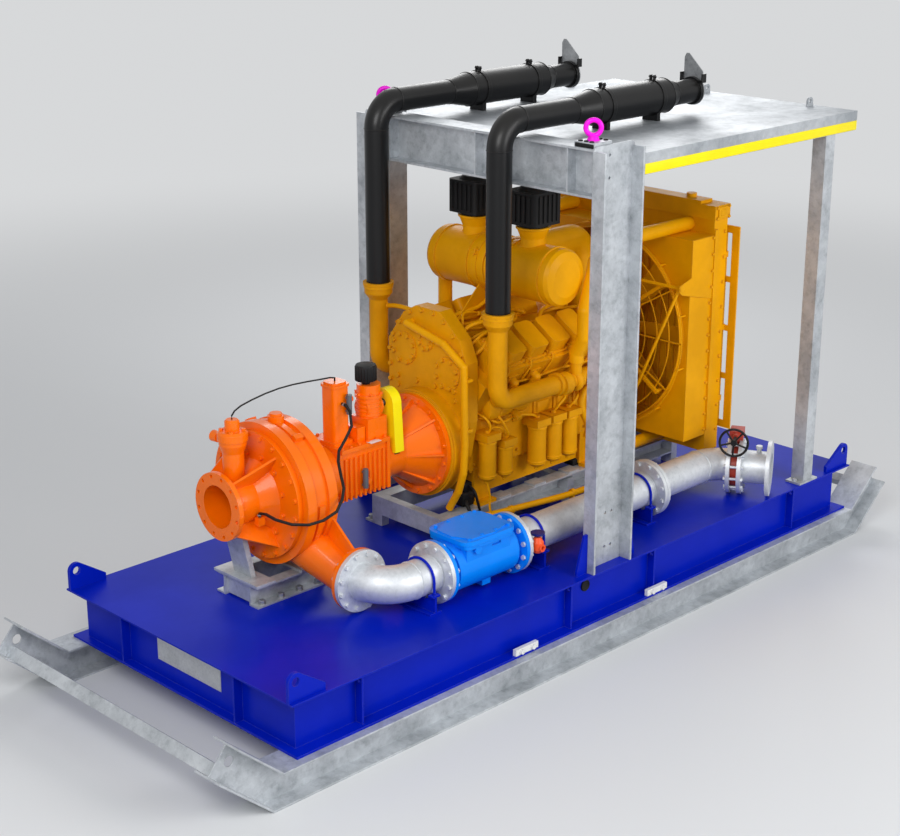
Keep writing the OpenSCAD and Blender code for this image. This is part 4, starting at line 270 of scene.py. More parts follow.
settled = calc(film_tree, "MULTIPLY", calc(film_tree, "MAXIMUM", upward.outputs[2], 0.0),
               calc(film_tree, "MULTIPLY", ramp(film_tree, drift.outputs[0], [(0.3, 0.25), (0.62, 1.0)]), film_in.outputs["Dust"]))
dusty = mix(film_tree, settled, drifted, (0.46, 0.43, 0.38, 1))
film_tree.links.new(dusty, film_out.inputs["Colour"])
rough = calc(film_tree, "ADD", film_in.outputs["Rough"], calc(film_tree, "MULTIPLY", calc(film_tree, "ADD", drift.outputs[0], settled), 0.22), clamp=True)
film_tree.links.new(rough, film_out.inputs["Roughness"])
bumps = calc(film_tree, "ADD", calc(film_tree, "MULTIPLY", peel.outputs[0], 0.25),
             calc(film_tree, "MULTIPLY", grit.outputs[0], film_in.outputs["Cast"]))
film_tree.links.new(bumps, film_out.inputs["Height"])
print("group", film_group.name)

# %% [markdown]
# Hot-dip zinc freezes into crystals, which show as flat patches of slightly
# different greys, and it clouds over as it ages. Voronoi cells give the
# crystals and two noises give the clouds and the darker runs.

# %% Group: clouded zinc
zinc_group, zinc_in, zinc_out = new_group(
    "clouded_zinc", {"Light": [0.62, 0.64, 0.65, 1.0], "Dark": [0.33, 0.35, 0.37, 1.0], "Cloud": 0.6, "Size": 1.0},
    {"Colour": "Color", "Roughness": "Float", "Height": "Float"})
zinc_tree = zinc_group
places = node(zinc_tree, "TexCoord")
sized = node(zinc_tree, "VectorMath", operation="SCALE")
zinc_tree.links.new(places.outputs["Object"], sized.inputs[0])
zinc_tree.links.new(zinc_in.outputs["Size"], sized.inputs["Scale"])
crystals = node(zinc_tree, "TexVoronoi", in_Scale=26.0)
clouds = node(zinc_tree, "TexNoise", in_Scale=3.2, in_Detail=7.0, in_Roughness=0.68)
spots = node(zinc_tree, "TexNoise", in_Scale=17.0, in_Detail=5.0, in_Roughness=0.72)
for texture in (crystals, clouds, spots):
    zinc_tree.links.new(sized.outputs[0], texture.inputs["Vector"])
cell = node(zinc_tree, "SeparateColor")
zinc_tree.links.new(crystals.outputs["Color"], cell.inputs[0])
cloudy = calc(zinc_tree, "MULTIPLY", ramp(zinc_tree, clouds.outputs[0], [(0.36, 0.0), (0.64, 1.0)]), zinc_in.outputs["Cloud"])
spotty = calc(zinc_tree, "MULTIPLY", ramp(zinc_tree, spots.outputs[0], [(0.48, 0.0), (0.68, 1.0)]), 0.35)
flaky = calc(zinc_tree, "MULTIPLY", cell.outputs[0], 0.16)
share = calc(zinc_tree, "ADD", calc(zinc_tree, "ADD", cloudy, spotty), flaky, clamp=True)
zinc_tree.links.new(mix(zinc_tree, share, zinc_in.outputs["Light"], zinc_in.outputs["Dark"]), zinc_out.inputs["Colour"])
zinc_tree.links.new(calc(zinc_tree, "ADD", 0.34, calc(zinc_tree, "MULTIPLY", clouds.outputs[0], 0.3)), zinc_out.inputs["Roughness"])
zinc_tree.links.new(calc(zinc_tree, "ADD", calc(zinc_tree, "MULTIPLY", spots.outputs[0], 0.5), cell.outputs[0]), zinc_out.inputs["Height"])
print("group", zinc_group.name)

# %% [markdown]
# Two recipes make all the finishes. A painted part takes the film of paint
# and lets bare metal show at its worn corners, and a metal part takes the
# clouded zinc or a plain worked metal. The shader itself stays in each
# material, with its own gloss.

# %% Recipes for paint and metal
def use_group(tree, group, values):
    item = tree.nodes.new("ShaderNodeGroup")
    item.node_tree = group
    for label, value in values.items():
        item.inputs[label].default_value = value
    return item


def finish_material(name, surface, metallic, coat, bump, worn, bare="#8C8A86", radius=0.003, shine=0.5, polish=0.16):
    """Joins a surface group, the worn corners and a shader into one material."""
    material = bpy.data.materials.new(name)
    material.use_nodes = True
    tree = material.node_tree
    shader = tree.nodes["Principled BSDF"]
    group = use_group(tree, *surface)
    corners = use_group(tree, wear_group, {"Radius": radius, "Amount": worn})
    shader.inputs["Coat Weight"].default_value = coat
    shader.inputs["Coat Roughness"].default_value = polish
    shader.inputs["Metallic"].default_value = metallic
    shader.inputs["Specular IOR Level"].default_value = shine
    if worn:
        colour = mix(tree, corners.outputs["Mask"], group.outputs["Colour"], linear(bare))
        tree.links.new(colour, shader.inputs["Base Color"])
    else:
        tree.links.new(group.outputs["Colour"], shader.inputs["Base Color"])
    tree.links.new(group.outputs["Roughness"], shader.inputs["Roughness"])
    ripple = node(tree, "Bump", in_Strength=bump, in_Distance=0.001)
    tree.links.new(group.outputs["Height"], ripple.inputs["Height"])
    tree.links.new(corners.outputs["Normal"], ripple.inputs["Normal"])
    tree.links.new(ripple.outputs[0], shader.inputs["Normal"])
    material.diffuse_color = (0.6, 0.6, 0.6, 1)
    return material


def paint(name, colour, rough=0.3, coat=0.1, cast=0.0, drift=0.25, dust=0.03, worn=0.4, shine=0.25, **more):
    values = {"Colour": linear(colour), "Rough": rough, "Cast": cast, "Drift": drift, "Dust": dust}
    return finish_material(name, (film_group, values), 0.0, coat, 0.25 + cast, worn, shine=shine, **more)


def zinc(name, light, dark, cloud=0.6, size=1.0, metallic=0.45, worn=0.0):
    values = {"Light": linear(light), "Dark": linear(dark), "Cloud": cloud, "Size": size}
    return finish_material(name, (zinc_group, values), metallic, 0.0, 0.2, worn, bare="#C8CACC")


# %% The finishes of this pump
galvanised = zinc("galvanised steel", "#D2D6DA", "#969BA0")
roof_zinc = zinc("galvanised roof", "#C4C8CC", "#9A9FA4", cloud=0.8, size=0.8)
pipe_zinc = zinc("galvanised pipe", "#E2E5E8", "#BFC3C7", cloud=0.5, size=2.2, metallic=0.5)
deck_blue = paint("deck blue", "#001EB4", rough=0.24, coat=0.03, drift=0.25, dust=0.0, worn=0.2, shine=0.09)
pump_orange = paint("cast pump orange", "#FF7400", rough=0.17, coat=0.25, cast=0.15, drift=0.2, dust=0.0, worn=0.1, shine=0.2, polish=0.08)
engine_yellow = paint("engine casting yellow", "#EAA200", rough=0.4, coat=0.02, cast=0.8, drift=0.5, dust=0.0, worn=0.12, shine=0.12)
sheet_yellow = paint("engine sheet yellow", "#EFA800", rough=0.34, coat=0.03, cast=0.1, drift=0.35, dust=0.0, worn=0.12, shine=0.12)
exhaust_black = paint("heatproof black", "#08080A", rough=0.26, coat=0.08, cast=0.1, drift=0.4, dust=0.04, worn=0.12, shine=0.3)
moulded_black = paint("moulded black", "#141415", rough=0.45, coat=0.0, cast=0.5, drift=0.3, dust=0.05, worn=0.0)
rubber_black = paint("black rubber", "#101011", rough=0.5, coat=0.0, cast=0.2, drift=0.2, dust=0.04, worn=0.0)
eye_magenta = paint("eye magenta", "#FF00E6", rough=0.3, coat=0.1, worn=0.15)
guard_yellow = paint("guard yellow", "#FFEB00", rough=0.3, coat=0.08, worn=0.15)
valve_blue = paint("valve blue", "#008CFF", rough=0.22, coat=0.1, cast=0.15, worn=0.1, shine=0.12, polish=0.1)
valve_red = paint("valve red", "#B23E2C", rough=0.35, coat=0.08, cast=0.6, worn=0.15)
tap_orange = paint("tap orange", "#FF5A24", rough=0.3, coat=0.1, cast=0.3, worn=0.12)
tap_blue = paint("tap handle blue", "#0A1A6A", rough=0.3, coat=0.15, worn=0.0)
plate_white = paint("bare white plate", "#E4E4E2", rough=0.35, coat=0.05, drift=0.12, worn=0.15)
gauge_grey = paint("gauge grey", "#60656C", rough=0.35, coat=0.1, cast=0.2, worn=0.25)
brushed_plate = zinc("brushed plate", "#CFD1D3", "#A9ACAF", cloud=0.35, size=4.0, metallic=0.75)
worked_steel = zinc("worked steel", "#B4B6B8", "#77797C", cloud=0.4, size=3.0, metallic=0.9)
print(len(bpy.data.materials), "materials")

# %% [markdown]
# The model's own nodes already have the right shapes, so most of them only
# need the right finish.

# %% Finishes of the model's own parts
finishes = {
    galvanised: "skid_frame columns roof_beam rear_posts pedestal engine_frame",
    roof_zinc: "roof_panel",
    deck_blue: "base_tank lifting_lugs pipe_supports",
    plate_white: "tank_fittings",
    brushed_plate: "name_plate",
    eye_magenta: "near_eye far_eye",
    engine_yellow: "engine_block oil_sump rear_housing cylinder_heads exhaust_manifolds turbochargers engine_filters",
    sheet_yellow: "air_cleaners breather_pipe radiator_pipes radiator fan_shroud cooling_fan fan_guard stone_guard",
    exhaust_black: "exhaust_stacks",
    moulded_black: "precleaners handwheel",
    worked_steel: "near_rain_flap far_rain_flap crankshaft pump_shaft impeller vacuum_pulley check_flap butterfly_disc",
    pump_orange: "suction_cover priming_chamber casing bearing_housing bell_housing vacuum_pump separator_tank",
    gauge_grey: "sight_gauges",
    guard_yellow: "belt_guard",
    rubber_black: "drive_belts pump_lines",
    pipe_zinc: "discharge_elbow discharge_pipe outlet_bend discharge_spool flange_bolts",
    valve_blue: "check_valve",
    valve_red: "butterfly_valve",
    tap_orange: "tap_body",
    tap_blue: "tap_handle",
}
for material, names in finishes.items():
    for name in names.split():
        nodes[name].data.materials.clear()
        nodes[name].data.materials.append(material)
dressed = set(" ".join(finishes.values()).split())
print("without a finish:", sorted(set(nodes) - dressed))

# %% [markdown]
# The rest of the lesson models the small parts. A few short helpers save
# repeating the same steps: one applies a modifier, one copies a finished
# piece to many places, and one fixes a piece in place, smooths it and ties it
# to the body of the pump that it moves with.

# %% Helpers for modelling
def millimetres(*values):
    return Vector([v / 1000 for v in values])


def only(item):
    """Makes this the one selected and active object."""
    bpy.ops.object.select_all(action="DESELECT")
    item.select_set(True)
    bpy.context.view_layer.objects.active = item
    return item


def apply_modifier(item, kind, **settings):
    only(item)
    modifier = item.modifiers.new(kind.lower(), kind)
    for key, value in settings.items():
        setattr(modifier, key, value)
    bpy.ops.object.modifier_apply(modifier=modifier.name)
    return item


def place_copies(source, places, name):
    """Copies a finished piece to each place, each copy with its own mesh, and joins them."""
    made = []
    for place in places:
        twin = source.copy()
        twin.data = source.data.copy()
        twin.data.transform(place)
        bpy.context.scene.collection.objects.link(twin)
        made.append(twin)
    bpy.ops.object.select_all(action="DESELECT")
    for twin in made:
        twin.select_set(True)
    bpy.context.view_layer.objects.active = made[0]
    if len(made) > 1:
        bpy.ops.object.join()
    made[0].name = name
    return made[0]


def join(items, name):
    bpy.ops.object.select_all(action="DESELECT")
    for item in items:
        item.select_set(True)
    bpy.context.view_layer.objects.active = items[0]
    if len(items) > 1:
        bpy.ops.object.join()
    items[0].name = name
    return items[0]


def finish_piece(item, body, material, smooth=32):
    """Puts a piece's place in its mesh, smooths it, gives it its finish and lets it ride."""
    only(item)
    bpy.ops.object.transform_apply(location=True, rotation=True, scale=True)
    bpy.ops.object.shade_smooth_by_angle(angle=math.radians(smooth))
    item.data.materials.clear()
    item.data.materials.append(material)
    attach(item, body)
    return item


def stand(place, direction=(0, 0, 1), turn=0.0):
    """Where a piece that is modelled upright goes, to stand at place and point along direction."""
    tilt = Vector(direction).to_track_quat("Z", "Y").to_matrix().to_4x4()
    return Matrix.Translation(place) @ tilt @ Matrix.Rotation(math.radians(turn), 4, "Z")


def round_circle(place, direction, radius, count, start=0.0):
    """Places on a circle round an axis, such as those of a flange's bolts."""
    middle = stand(place, direction)
    return [middle @ Matrix.Rotation(math.radians(start + i * 360 / count), 4, "Z")
            @ Matrix.Translation((radius, 0, 0)) for i in range(count)]


# %% [markdown]
# A bolt head is a short hexagon with its top corners turned off, on a thin
# washer. It is modelled once, from a six-sided cylinder whose top is inset
# and pulled up a little, then copied wherever the pump has a bolt.

# %% Bolt head
def bolt_head(across, name):
    """A hexagon head on its washer, standing on the XY plane."""
    bpy.ops.object.select_all(action="DESELECT")
    washer_h, head_h = across * 0.1, across * 0.55
    bpy.ops.mesh.primitive_cylinder_add(vertices=6, radius=across / math.sqrt(3), depth=head_h,
                                        location=(0, 0, washer_h + head_h / 2))
    head = bpy.context.active_object
    bpy.ops.object.transform_apply(location=True)
    bpy.ops.object.mode_set(mode="EDIT")
    shape = bmesh.from_edit_mesh(head.data)
    for face in shape.faces:
        face.select_set(face.normal.z > 0.9)
    bmesh.update_edit_mesh(head.data)
    bpy.ops.mesh.inset(thickness=across * 0.07, depth=across * 0.05)
    bpy.ops.object.mode_set(mode="OBJECT")
    bpy.ops.mesh.primitive_cylinder_add(vertices=16, radius=across * 0.66, depth=washer_h, location=(0, 0, washer_h / 2))
    washer = bpy.context.active_object
    bpy.ops.object.transform_apply(location=True)
    bolt = join([head, washer], name)
    return bolt


small_bolt = bolt_head(0.018, "bolt_pattern_small")
middle_bolt = bolt_head(0.026, "bolt_pattern_middle")
large_bolt = bolt_head(0.036, "bolt_pattern_large")
print("one bolt has", len(small_bolt.data.polygons), "faces")

# %% [markdown]
# Hoses, cables and small pipes are all one idea: a smooth line through a few
# points with a round section. A curve gives the line, its bevel gives the
# section, and it is then made a mesh so that it can be finished like any
# other piece.

# %% Pipes and hoses
def pipe_run(points, radius, name, sides=3, smooth=True):
    """A round bar along points in millimetres."""
    data = bpy.data.curves.new(name, "CURVE")
    data.dimensions = "3D"
    data.bevel_depth = radius / 1000
    data.bevel_resolution = sides
    data.use_fill_caps = True
    data.resolution_u = 8
    line = data.splines.new("BEZIER" if smooth else "POLY")
    if smooth:
        line.bezier_points.add(len(points) - 1)
        for knot, point in zip(line.bezier_points, points):
            knot.co = millimetres(*point)
            knot.handle_left_type = knot.handle_right_type = "AUTO"
    else:
        line.points.add(len(points) - 1)
        for knot, point in zip(line.points, points):
            knot.co = (*millimetres(*point), 1)
    item = bpy.data.objects.new(name, data)
    bpy.context.scene.collection.objects.link(item)
    only(item)
    bpy.ops.object.convert(target="MESH")
    return bpy.context.active_object


def round_bar(start, end, radius, name, vertices=24, bevel=1.5):
    """A straight bar between two points in millimetres, with its end corners rounded."""
    start, end = millimetres(*start), millimetres(*end)
    along = end - start
    bpy.ops.object.select_all(action="DESELECT")
    bpy.ops.mesh.primitive_cylinder_add(vertices=vertices, radius=radius / 1000, depth=along.length)
    bar = bpy.context.active_object
    bar.data.transform(stand((start + end) / 2, along))
    apply_modifier(bar, "BEVEL", width=bevel / 1000, segments=2, limit_method="ANGLE", angle_limit=math.radians(50))
    bar.name = name
    return bar


def block(low, high, name, bevel=2.0):
    """A rectangular piece between two corners in millimetres, with rounded edges."""
    low, high = millimetres(*low), millimetres(*high)
    bpy.ops.object.select_all(action="DESELECT")
    bpy.ops.mesh.primitive_cube_add(size=1)
    item = bpy.context.active_object
    size = high - low
    item.data.transform(Matrix.Translation((low + high) / 2) @ Matrix.Diagonal((*size, 1)))
    apply_modifier(item, "BEVEL", width=bevel / 1000, segments=2)
    item.name = name
    return item


# %% [markdown]
# Where two lengths of pipe meet, the weld leaves a low rounded bead all round.
# A thin torus whose outline is roughened a little looks like one.

# %% Weld beads on the discharge pipe
def weld_bead(centre, direction, radius, name, thick=4.0):
    bpy.ops.object.select_all(action="DESELECT")
    bpy.ops.mesh.primitive_torus_add(major_radius=radius / 1000, minor_radius=thick / 1000,
                                     major_segments=96, minor_segments=6)
    bead = bpy.context.active_object
    for point in bead.data.vertices:
        angle = math.atan2(point.co.y, point.co.x)
        point.co.z += 0.0008 * math.sin(angle * 41) + 0.0005 * math.sin(angle * 17)
    bead.data.transform(stand(millimetres(*centre), direction))
    bead.name = name
    return bead


pipe_y, pipe_z, shaft_z, drive_y, deck_z = -630, 715, 1130, 200, 522
beads = [
    weld_bead((-1458, -414, pipe_z), (0, 1, 0), 110, "bead"),
    weld_bead((-1458, -430, pipe_z), (0, 1, 0), 110, "bead"),
    weld_bead((-1258, pipe_y, pipe_z), (1, 0, 0), 110, "bead"),
    weld_bead((-1110, pipe_y, pipe_z), (1, 0, 0), 111, "bead"),
    weld_bead((-420, pipe_y, pipe_z), (1, 0, 0), 111, "bead"),
    weld_bead((802, pipe_y, pipe_z), (1, 0, 0), 111, "bead"),
    weld_bead((872, pipe_y, pipe_z), (1, 0, 0), 111, "bead"),
    weld_bead((1382, pipe_y, pipe_z), (1, 0, 0), 110, "bead"),
]
finish_piece(join(beads, "pipe_weld_beads"), "frame", pipe_zinc, smooth=80)
print("weld beads done")

# %% [markdown]
# The lower half of the near roof edge carries a bright yellow band, so that
# nobody walks into it. It is a thin strip with softened corners, laid on the
# turned-down edge of the roof.

# %% Yellow band on the roof edge
roof_low, roof_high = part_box("roof_panel")
band = block((222, roof_low.y * 1000 - 1.5, roof_low.z * 1000 + 2),
             (roof_high.x * 1000 - 2, roof_low.y * 1000 + 1, roof_low.z * 1000 + 62), "roof_edge_band", bevel=0.6)
finish_piece(band, "frame", guard_yellow)
print("band is", round(band.dimensions.x, 3), "m long")

# %% [markdown]
# The drain port in the near wall is closed with a black rubber plug that has
# a raised rim. It is a short cylinder whose outer face is inset and pushed in.

# %% Rubber plug in the wall port
def rubber_plug(centre, direction, radius, name):
    bpy.ops.object.select_all(action="DESELECT")
    bpy.ops.mesh.primitive_cylinder_add(vertices=40, radius=radius / 1000, depth=0.016)
    plug = bpy.context.active_object
    bpy.ops.object.mode_set(mode="EDIT")
    shape = bmesh.from_edit_mesh(plug.data)
    for face in shape.faces:
        face.select_set(face.normal.z > 0.9)
    bmesh.update_edit_mesh(plug.data)
    bpy.ops.mesh.inset(thickness=radius * 0.00018)
    bpy.ops.mesh.inset(thickness=radius * 0.00006, depth=-0.005)
    bpy.ops.object.mode_set(mode="OBJECT")
    apply_modifier(plug, "BEVEL", width=0.0015, segments=2, limit_method="ANGLE", angle_limit=math.radians(40))
    plug.data.transform(stand(millimetres(*centre), direction))
    plug.name = name
    return plug


plug = rubber_plug((-115, -952, 429), (0, -1, 0), 36, "wall_port_plug")
finish_piece(plug, "frame", rubber_black)
print("plug is", round(plug.dimensions.x, 3), "m across")

# %% [markdown]
# The frame that carries the engine is bolted to the deck, and so are the two
# rails under the pump. Each foot gets one large bolt.

# %% Bolts of the feet
feet = []
for x in (-500, 650, 1740):
    for side in (-1, 1):
        foot_y = drive_y + side * (652 / 2 - 45) - 45 + (0 if side > 0 else -65)
        feet.append(stand(millimetres(x + 30, foot_y + (130 if side > 0 else 25), deck_z + 14)))
for x in (-1840, -1700, -1560, -1420):
    for y in (drive_y - 122 - 44, drive_y + 112 + 44):
        feet.append(stand(millimetres(x + 30, y, deck_z + 12)))
finish_piece(place_copies(large_bolt, feet, "foot_bolts"), "frame", worked_steel)
print(len(feet), "foot bolts")

# %% [markdown]
# The engine rests on four rubber mounts, which keep its shaking out of the
# frame. Each is a squat black block, wider at the middle where the load
# presses it out.

# %% Engine mounts
mounts = []
for x in (-150, 850):
    for side in (-1, 1):
        y = drive_y + side * 205
        mount = block((x - 60, y - 40, 720), (x + 60, y + 40, 764), "mount", bevel=8)
        for point in mount.data.vertices:
            bulge = 1 + 0.10 * math.cos((point.co.z - 0.742) / 0.022 * math.pi / 2)
            point.co.x = x / 1000 + (point.co.x - x / 1000) * bulge
            point.co.y = y / 1000 + (point.co.y - y / 1000) * bulge
        mounts.append(mount)
finish_piece(join(mounts, "engine_mounts"), "frame", rubber_black)

# %% [markdown]
# The near side of an engine like this is a tangle of small pipes and cables.
# Points on a leaning cylinder bank are easier to give in the bank's own
# directions, so a helper turns them into places on the engine.

# %% Places on a leaning bank
def on_bank(side, x, across, up):
    """A point on the near (-1) or far (1) bank: across it, and up along it from the crankshaft."""
    lean = math.radians(-side * 32.5)
    return (x, drive_y + across * math.cos(lean) - up * math.sin(lean),
            shaft_z + across * math.sin(lean) + up * math.cos(lean))


# %% Cable harness along the heads
for side, label in ((-1, "near"), (1, "far")):
    trunk = [on_bank(side, x, side * (153 + 2 * math.sin(x / 90)), 562 + 4 * math.cos(x / 70))
             for x in range(-150, 1041, 70)]
    cables = [pipe_run(trunk, 10, "cable")]
    for i in range(6):
        x = -118 + i * 198
        cables.append(pipe_run([on_bank(side, x - 20, side * 153, 562), on_bank(side, x, side * 154, 640),
                                on_bank(side, x + 12, side * 140, 702), on_bank(side, x + 18, side * 108, 716)], 6, "cable"))
    finish_piece(join(cables, "cable_harness_" + label), "frame", engine_yellow, smooth=60)
print("harness on both banks")

# %% Fuel lines in the valley and at the filters
valley = [
    ([(-200, 110, 1780), (-120, 90, 1820), (20, 70, 1812), (140, 84, 1815), (300, 80, 1812)], 11),
    ([(-220, 150, 1800), (-140, 160, 1832), (0, 150, 1828), (160, 160, 1826), (330, 150, 1812)], 8),
    ([(-120, 40, 1760), (-60, 0, 1800), (40, -10, 1810), (150, -30, 1790), (260, -20, 1800), (420, -10, 1790)], 9),
    ([(-205, -60, 1690), (-150, -100, 1742), (-70, -90, 1800), (30, -60, 1816), (120, -50, 1790)], 12),
    ([(-150, 230, 1790), (-40, 260, 1830), (120, 250, 1822), (300, 262, 1830), (520, 250, 1800)], 10),
    ([(560, 60, 1800), (640, 20, 1826), (760, 10, 1810), (900, 20, 1790), (1000, 60, 1740)], 12),
]
lines = [pipe_run(points, radius, "line") for points, radius in valley]
finish_piece(join(lines, "valley_lines"), "frame", engine_yellow, smooth=60)

filter_lines = [
    ([(-125, -132, 1196), (-125, -160, 1240), (-150, -150, 1300), (-170, -90, 1330), (-190, -64, 1345)], 8),
    ([(30, -132, 1120), (30, -165, 1160), (0, -170, 1220), (-40, -150, 1290), (-60, -70, 1330)], 8),
    ([(-125, -110, 1200), (-60, -140, 1226), (0, -150, 1190), (30, -118, 1132)], 7),
    ([(330, -132, 1196), (250, -160, 1240), (120, -150, 1262), (-30, -140, 1250), (-100, -100, 1285), (-150, -62, 1290)], 9),
    ([(-125, -135, 902), (-125, -140, 860), (-118, -150, 800), (-112, -150, 740)], 7),
    ([(480, -132, 1196), (500, -165, 1250), (560, -160, 1290), (620, -90, 1330)], 10),
    ([(630, -132, 1196), (660, -160, 1240), (760, -120, 1290), (880, -62, 1310)], 10),
]
lines = [pipe_run(points, radius, "line") for points, radius in filter_lines]
finish_piece(join(lines, "filter_lines"), "frame", sheet_yellow, smooth=60)
print(len(valley) + len(filter_lines), "lines")

# %% [markdown]
# Flanges on the engine are bolted all round. The gear case, the sump rail and
# the covers get rows of small and middle bolts.

# %% Bolts on the engine
gear_edge = [(-215, -170), (-300, -60), (-350, 180), (-350, 560), (-290, 700), (-120, 850), (90, 850), (200, 790), (335, 600),
             (335, 180), (300, -60), (215, -170)]
heads = []
for (y0, z0), (y1, z1) in zip(gear_edge, gear_edge[1:]):
    length = math.hypot(y1 - y0, z1 - z0)
    for i in range(max(1, round(length / 110))):
        t = (i + 0.5) / max(1, round(length / 110))
        y, z = y0 + t * (y1 - y0), z0 + t * (z1 - z0)
        inward = 1 - 20 / math.hypot(y, z - 300)
        heads.append(stand(millimetres(-330, drive_y + y * inward, shaft_z + 300 + (z - 300) * inward), (-1, 0, 0)))
for (y, z, r) in ((190, 560, 105), (-190, 470, 105), (0, 640, 62)):
    heads += round_circle(millimetres(-339, drive_y + y, shaft_z + z), (-1, 0, 0), (r - 14) / 1000, 8 if r > 80 else 6, 20)
gear_bolts = place_copies(middle_bolt, heads, "gear_case_bolts")
rail = []
for side in (-1, 1):
    for i in range(16):
        rail.append(stand(millimetres(-190 + i * 80, drive_y + side * 248, 946), (0, 0, -1)))
    for i in range(10):
        rail.append(stand(millimetres(-170 + i * 130, drive_y + side * 260.5, 1350), (0, side, 0)))
        rail.append(stand(millimetres(-170 + i * 130, drive_y + side * 260.5, 990), (0, side, 0)))
rail_bolts = place_copies(small_bolt, rail, "rail_bolts")
finish_piece(join([gear_bolts, rail_bolts], "engine_bolts"), "frame", engine_yellow)
print(len(heads) + len(rail), "engine bolts")

# %% [markdown]
# Side covers on the crankcase are shallow cast lids, one for each pair of
# cylinders. A lid starts as a flat block, its face is inset and raised so
# that it gets a flange and a crown, and then its corners are rounded.

# %% Crankcase side covers
def cast_lid(centre, size, direction, name, rise=14):
    """A lid with a flange and a raised middle, its back on centre."""
    bpy.ops.object.select_all(action="DESELECT")
    bpy.ops.mesh.primitive_cube_add(size=1)
    lid = bpy.context.active_object
    lid.data.transform(Matrix.Diagonal((size[0] / 1000, size[1] / 1000, 0.010, 1)))
    lid.data.transform(Matrix.Translation((0, 0, 0.005)))
    bpy.ops.object.mode_set(mode="EDIT")
    shape = bmesh.from_edit_mesh(lid.data)
    for face in shape.faces:
        face.select_set(face.normal.z > 0.9)
    bmesh.update_edit_mesh(lid.data)
    bpy.ops.mesh.inset(thickness=0.018)
    bpy.ops.mesh.extrude_region_move(TRANSFORM_OT_translate={"value": (0, 0, rise / 1000)})
    bpy.ops.transform.resize(value=(0.9, 0.9, 1))
    bpy.ops.object.mode_set(mode="OBJECT")
    apply_modifier(lid, "BEVEL", width=0.006, segments=3, limit_method="ANGLE", angle_limit=math.radians(30))
    lid.data.transform(stand(millimetres(*centre), direction))
    lid.name = name
    return lid


lids = [cast_lid((x, drive_y + side * 260, 1240), (150, 110), (0, side, 0), "lid")
        for side in (-1, 1) for x in (60, 250, 440, 630, 820, 960)]
finish_piece(join(lids, "crankcase_covers"), "frame", engine_yellow)

# %% [markdown]
# The air cleaner drums are held in wide steel straps, each drawn tight by a
# T-bolt. The strap is a thin ring and the clamp is two small lugs with a bolt
# through them.

# %% Straps round the air cleaner drums
def strap(centre, direction, radius, width, name, lug_turn=0.0):
    """A band round a pipe or drum, with two lugs and a bolt."""
    bpy.ops.object.select_all(action="DESELECT")
    bpy.ops.mesh.primitive_cylinder_add(vertices=72, radius=radius / 1000, depth=width / 1000, end_fill_type="NOTHING")
    hoop = bpy.context.active_object
    apply_modifier(hoop, "SOLIDIFY", thickness=0.004, offset=1)
    lugs = []
    for side in (-1, 1):
        lug = block((radius - 2, side * 14 - 4, -width * 0.4), (radius + 30, side * 14 + 4, width * 0.4), "lug", bevel=1.5)
        lugs.append(lug)
    bolt = round_bar((radius + 18, -30, 0), (radius + 18, 30, 0), 5, "lug_bolt", vertices=12)
    item = join([hoop, *lugs, bolt], name)
    item.data.transform(stand(millimetres(*centre), direction, lug_turn))
    return item


drum_x, drum_z, drum_r = 355, 2138, 180
straps = [strap((drum_x, drive_y + side * 86, drum_z), (0, 1, 0), drum_r + 1, 34, "strap", lug_turn=turn)
          for side, turn in ((-1, 150), (1, 30))]
finish_piece(join(straps, "drum_straps"), "frame", sheet_yellow, smooth=40)

# %% [markdown]
# Thin sheet is never quite plain: the black exhaust shows its welds where
# each cone meets the straight pipe, and two clamps hold the mufflers down.

# %% Welds and clamps of the exhaust
stack_z, stack_x, stack_dy = 3165, -240, 525
welds, clamps = [], []
for side in (-1, 1):
    y = drive_y + side * stack_dy
    for x, radius in ((380, 76), (550, 107.5), (1240, 107.5), (1330, 76), (-80, 76)):
        welds.append(weld_bead((x, y, stack_z), (1, 0, 0), radius, "weld", thick=3.2))
    welds.append(weld_bead((stack_x, y, 3005), (0, 0, 1), 76, "weld", thick=3.2))
    for x in (655, 1135):
        clamps.append(strap((x, y, stack_z), (1, 0, 0), 108.5, 30, "clamp", lug_turn=90))
    clamps.append(strap((stack_x, y, 2012), (0, 0, 1), 91, 22, "clamp", lug_turn=200))
finish_piece(join(welds, "exhaust_welds"), "frame", exhaust_black, smooth=60)
yellow_clamps = clamps[2::3]
black_clamps = [c for c in clamps if c not in yellow_clamps]
finish_piece(join(black_clamps, "muffler_clamps"), "frame", exhaust_black, smooth=40)
finish_piece(join(yellow_clamps, "socket_clamps"), "frame", sheet_yellow, smooth=40)
print("exhaust dressed")

# %% [markdown]
# The pump's own castings carry rows of bolts, a drain plug and a bare plate.
# The black hose is held by small worm clamps where it joins the fittings.

# %% Bolts and plugs of the pump
heads = []
for x, direction in ((-1190, -1), (-790, 1)):
    for y in (-140, 140):
        for z in (-120, -40, 60):
            heads.append(stand(millimetres(x + (0.5 if direction > 0 else 0.0) - (1 if direction > 0 else 0),
                                           drive_y + y, shaft_z + z), (direction, 0, 0)))
for i in range(6):
    for y in (-152, 152):
        heads.append(stand(millimetres(-1160 + i * 68, drive_y + y, shaft_z + 175)))
pump_bolts = place_copies(small_bolt, heads, "housing_bolts")
cover_ring = place_copies(middle_bolt, round_circle(millimetres(-1694, drive_y, shaft_z), (-1, 0, 0), 0.252, 12, 15), "cover_ring")
lid_ring = place_copies(small_bolt, round_circle(millimetres(-865, 140, 1572), (0, 0, 1), 0.078, 6), "lid_ring")
plug = place_copies(large_bolt, [stand(millimetres(-1545, drive_y + 0, shaft_z - 425), (0, 0, -1)),
                                 stand(millimetres(-980, drive_y - 165, shaft_z - 60), (0, -1, 0))], "plugs")
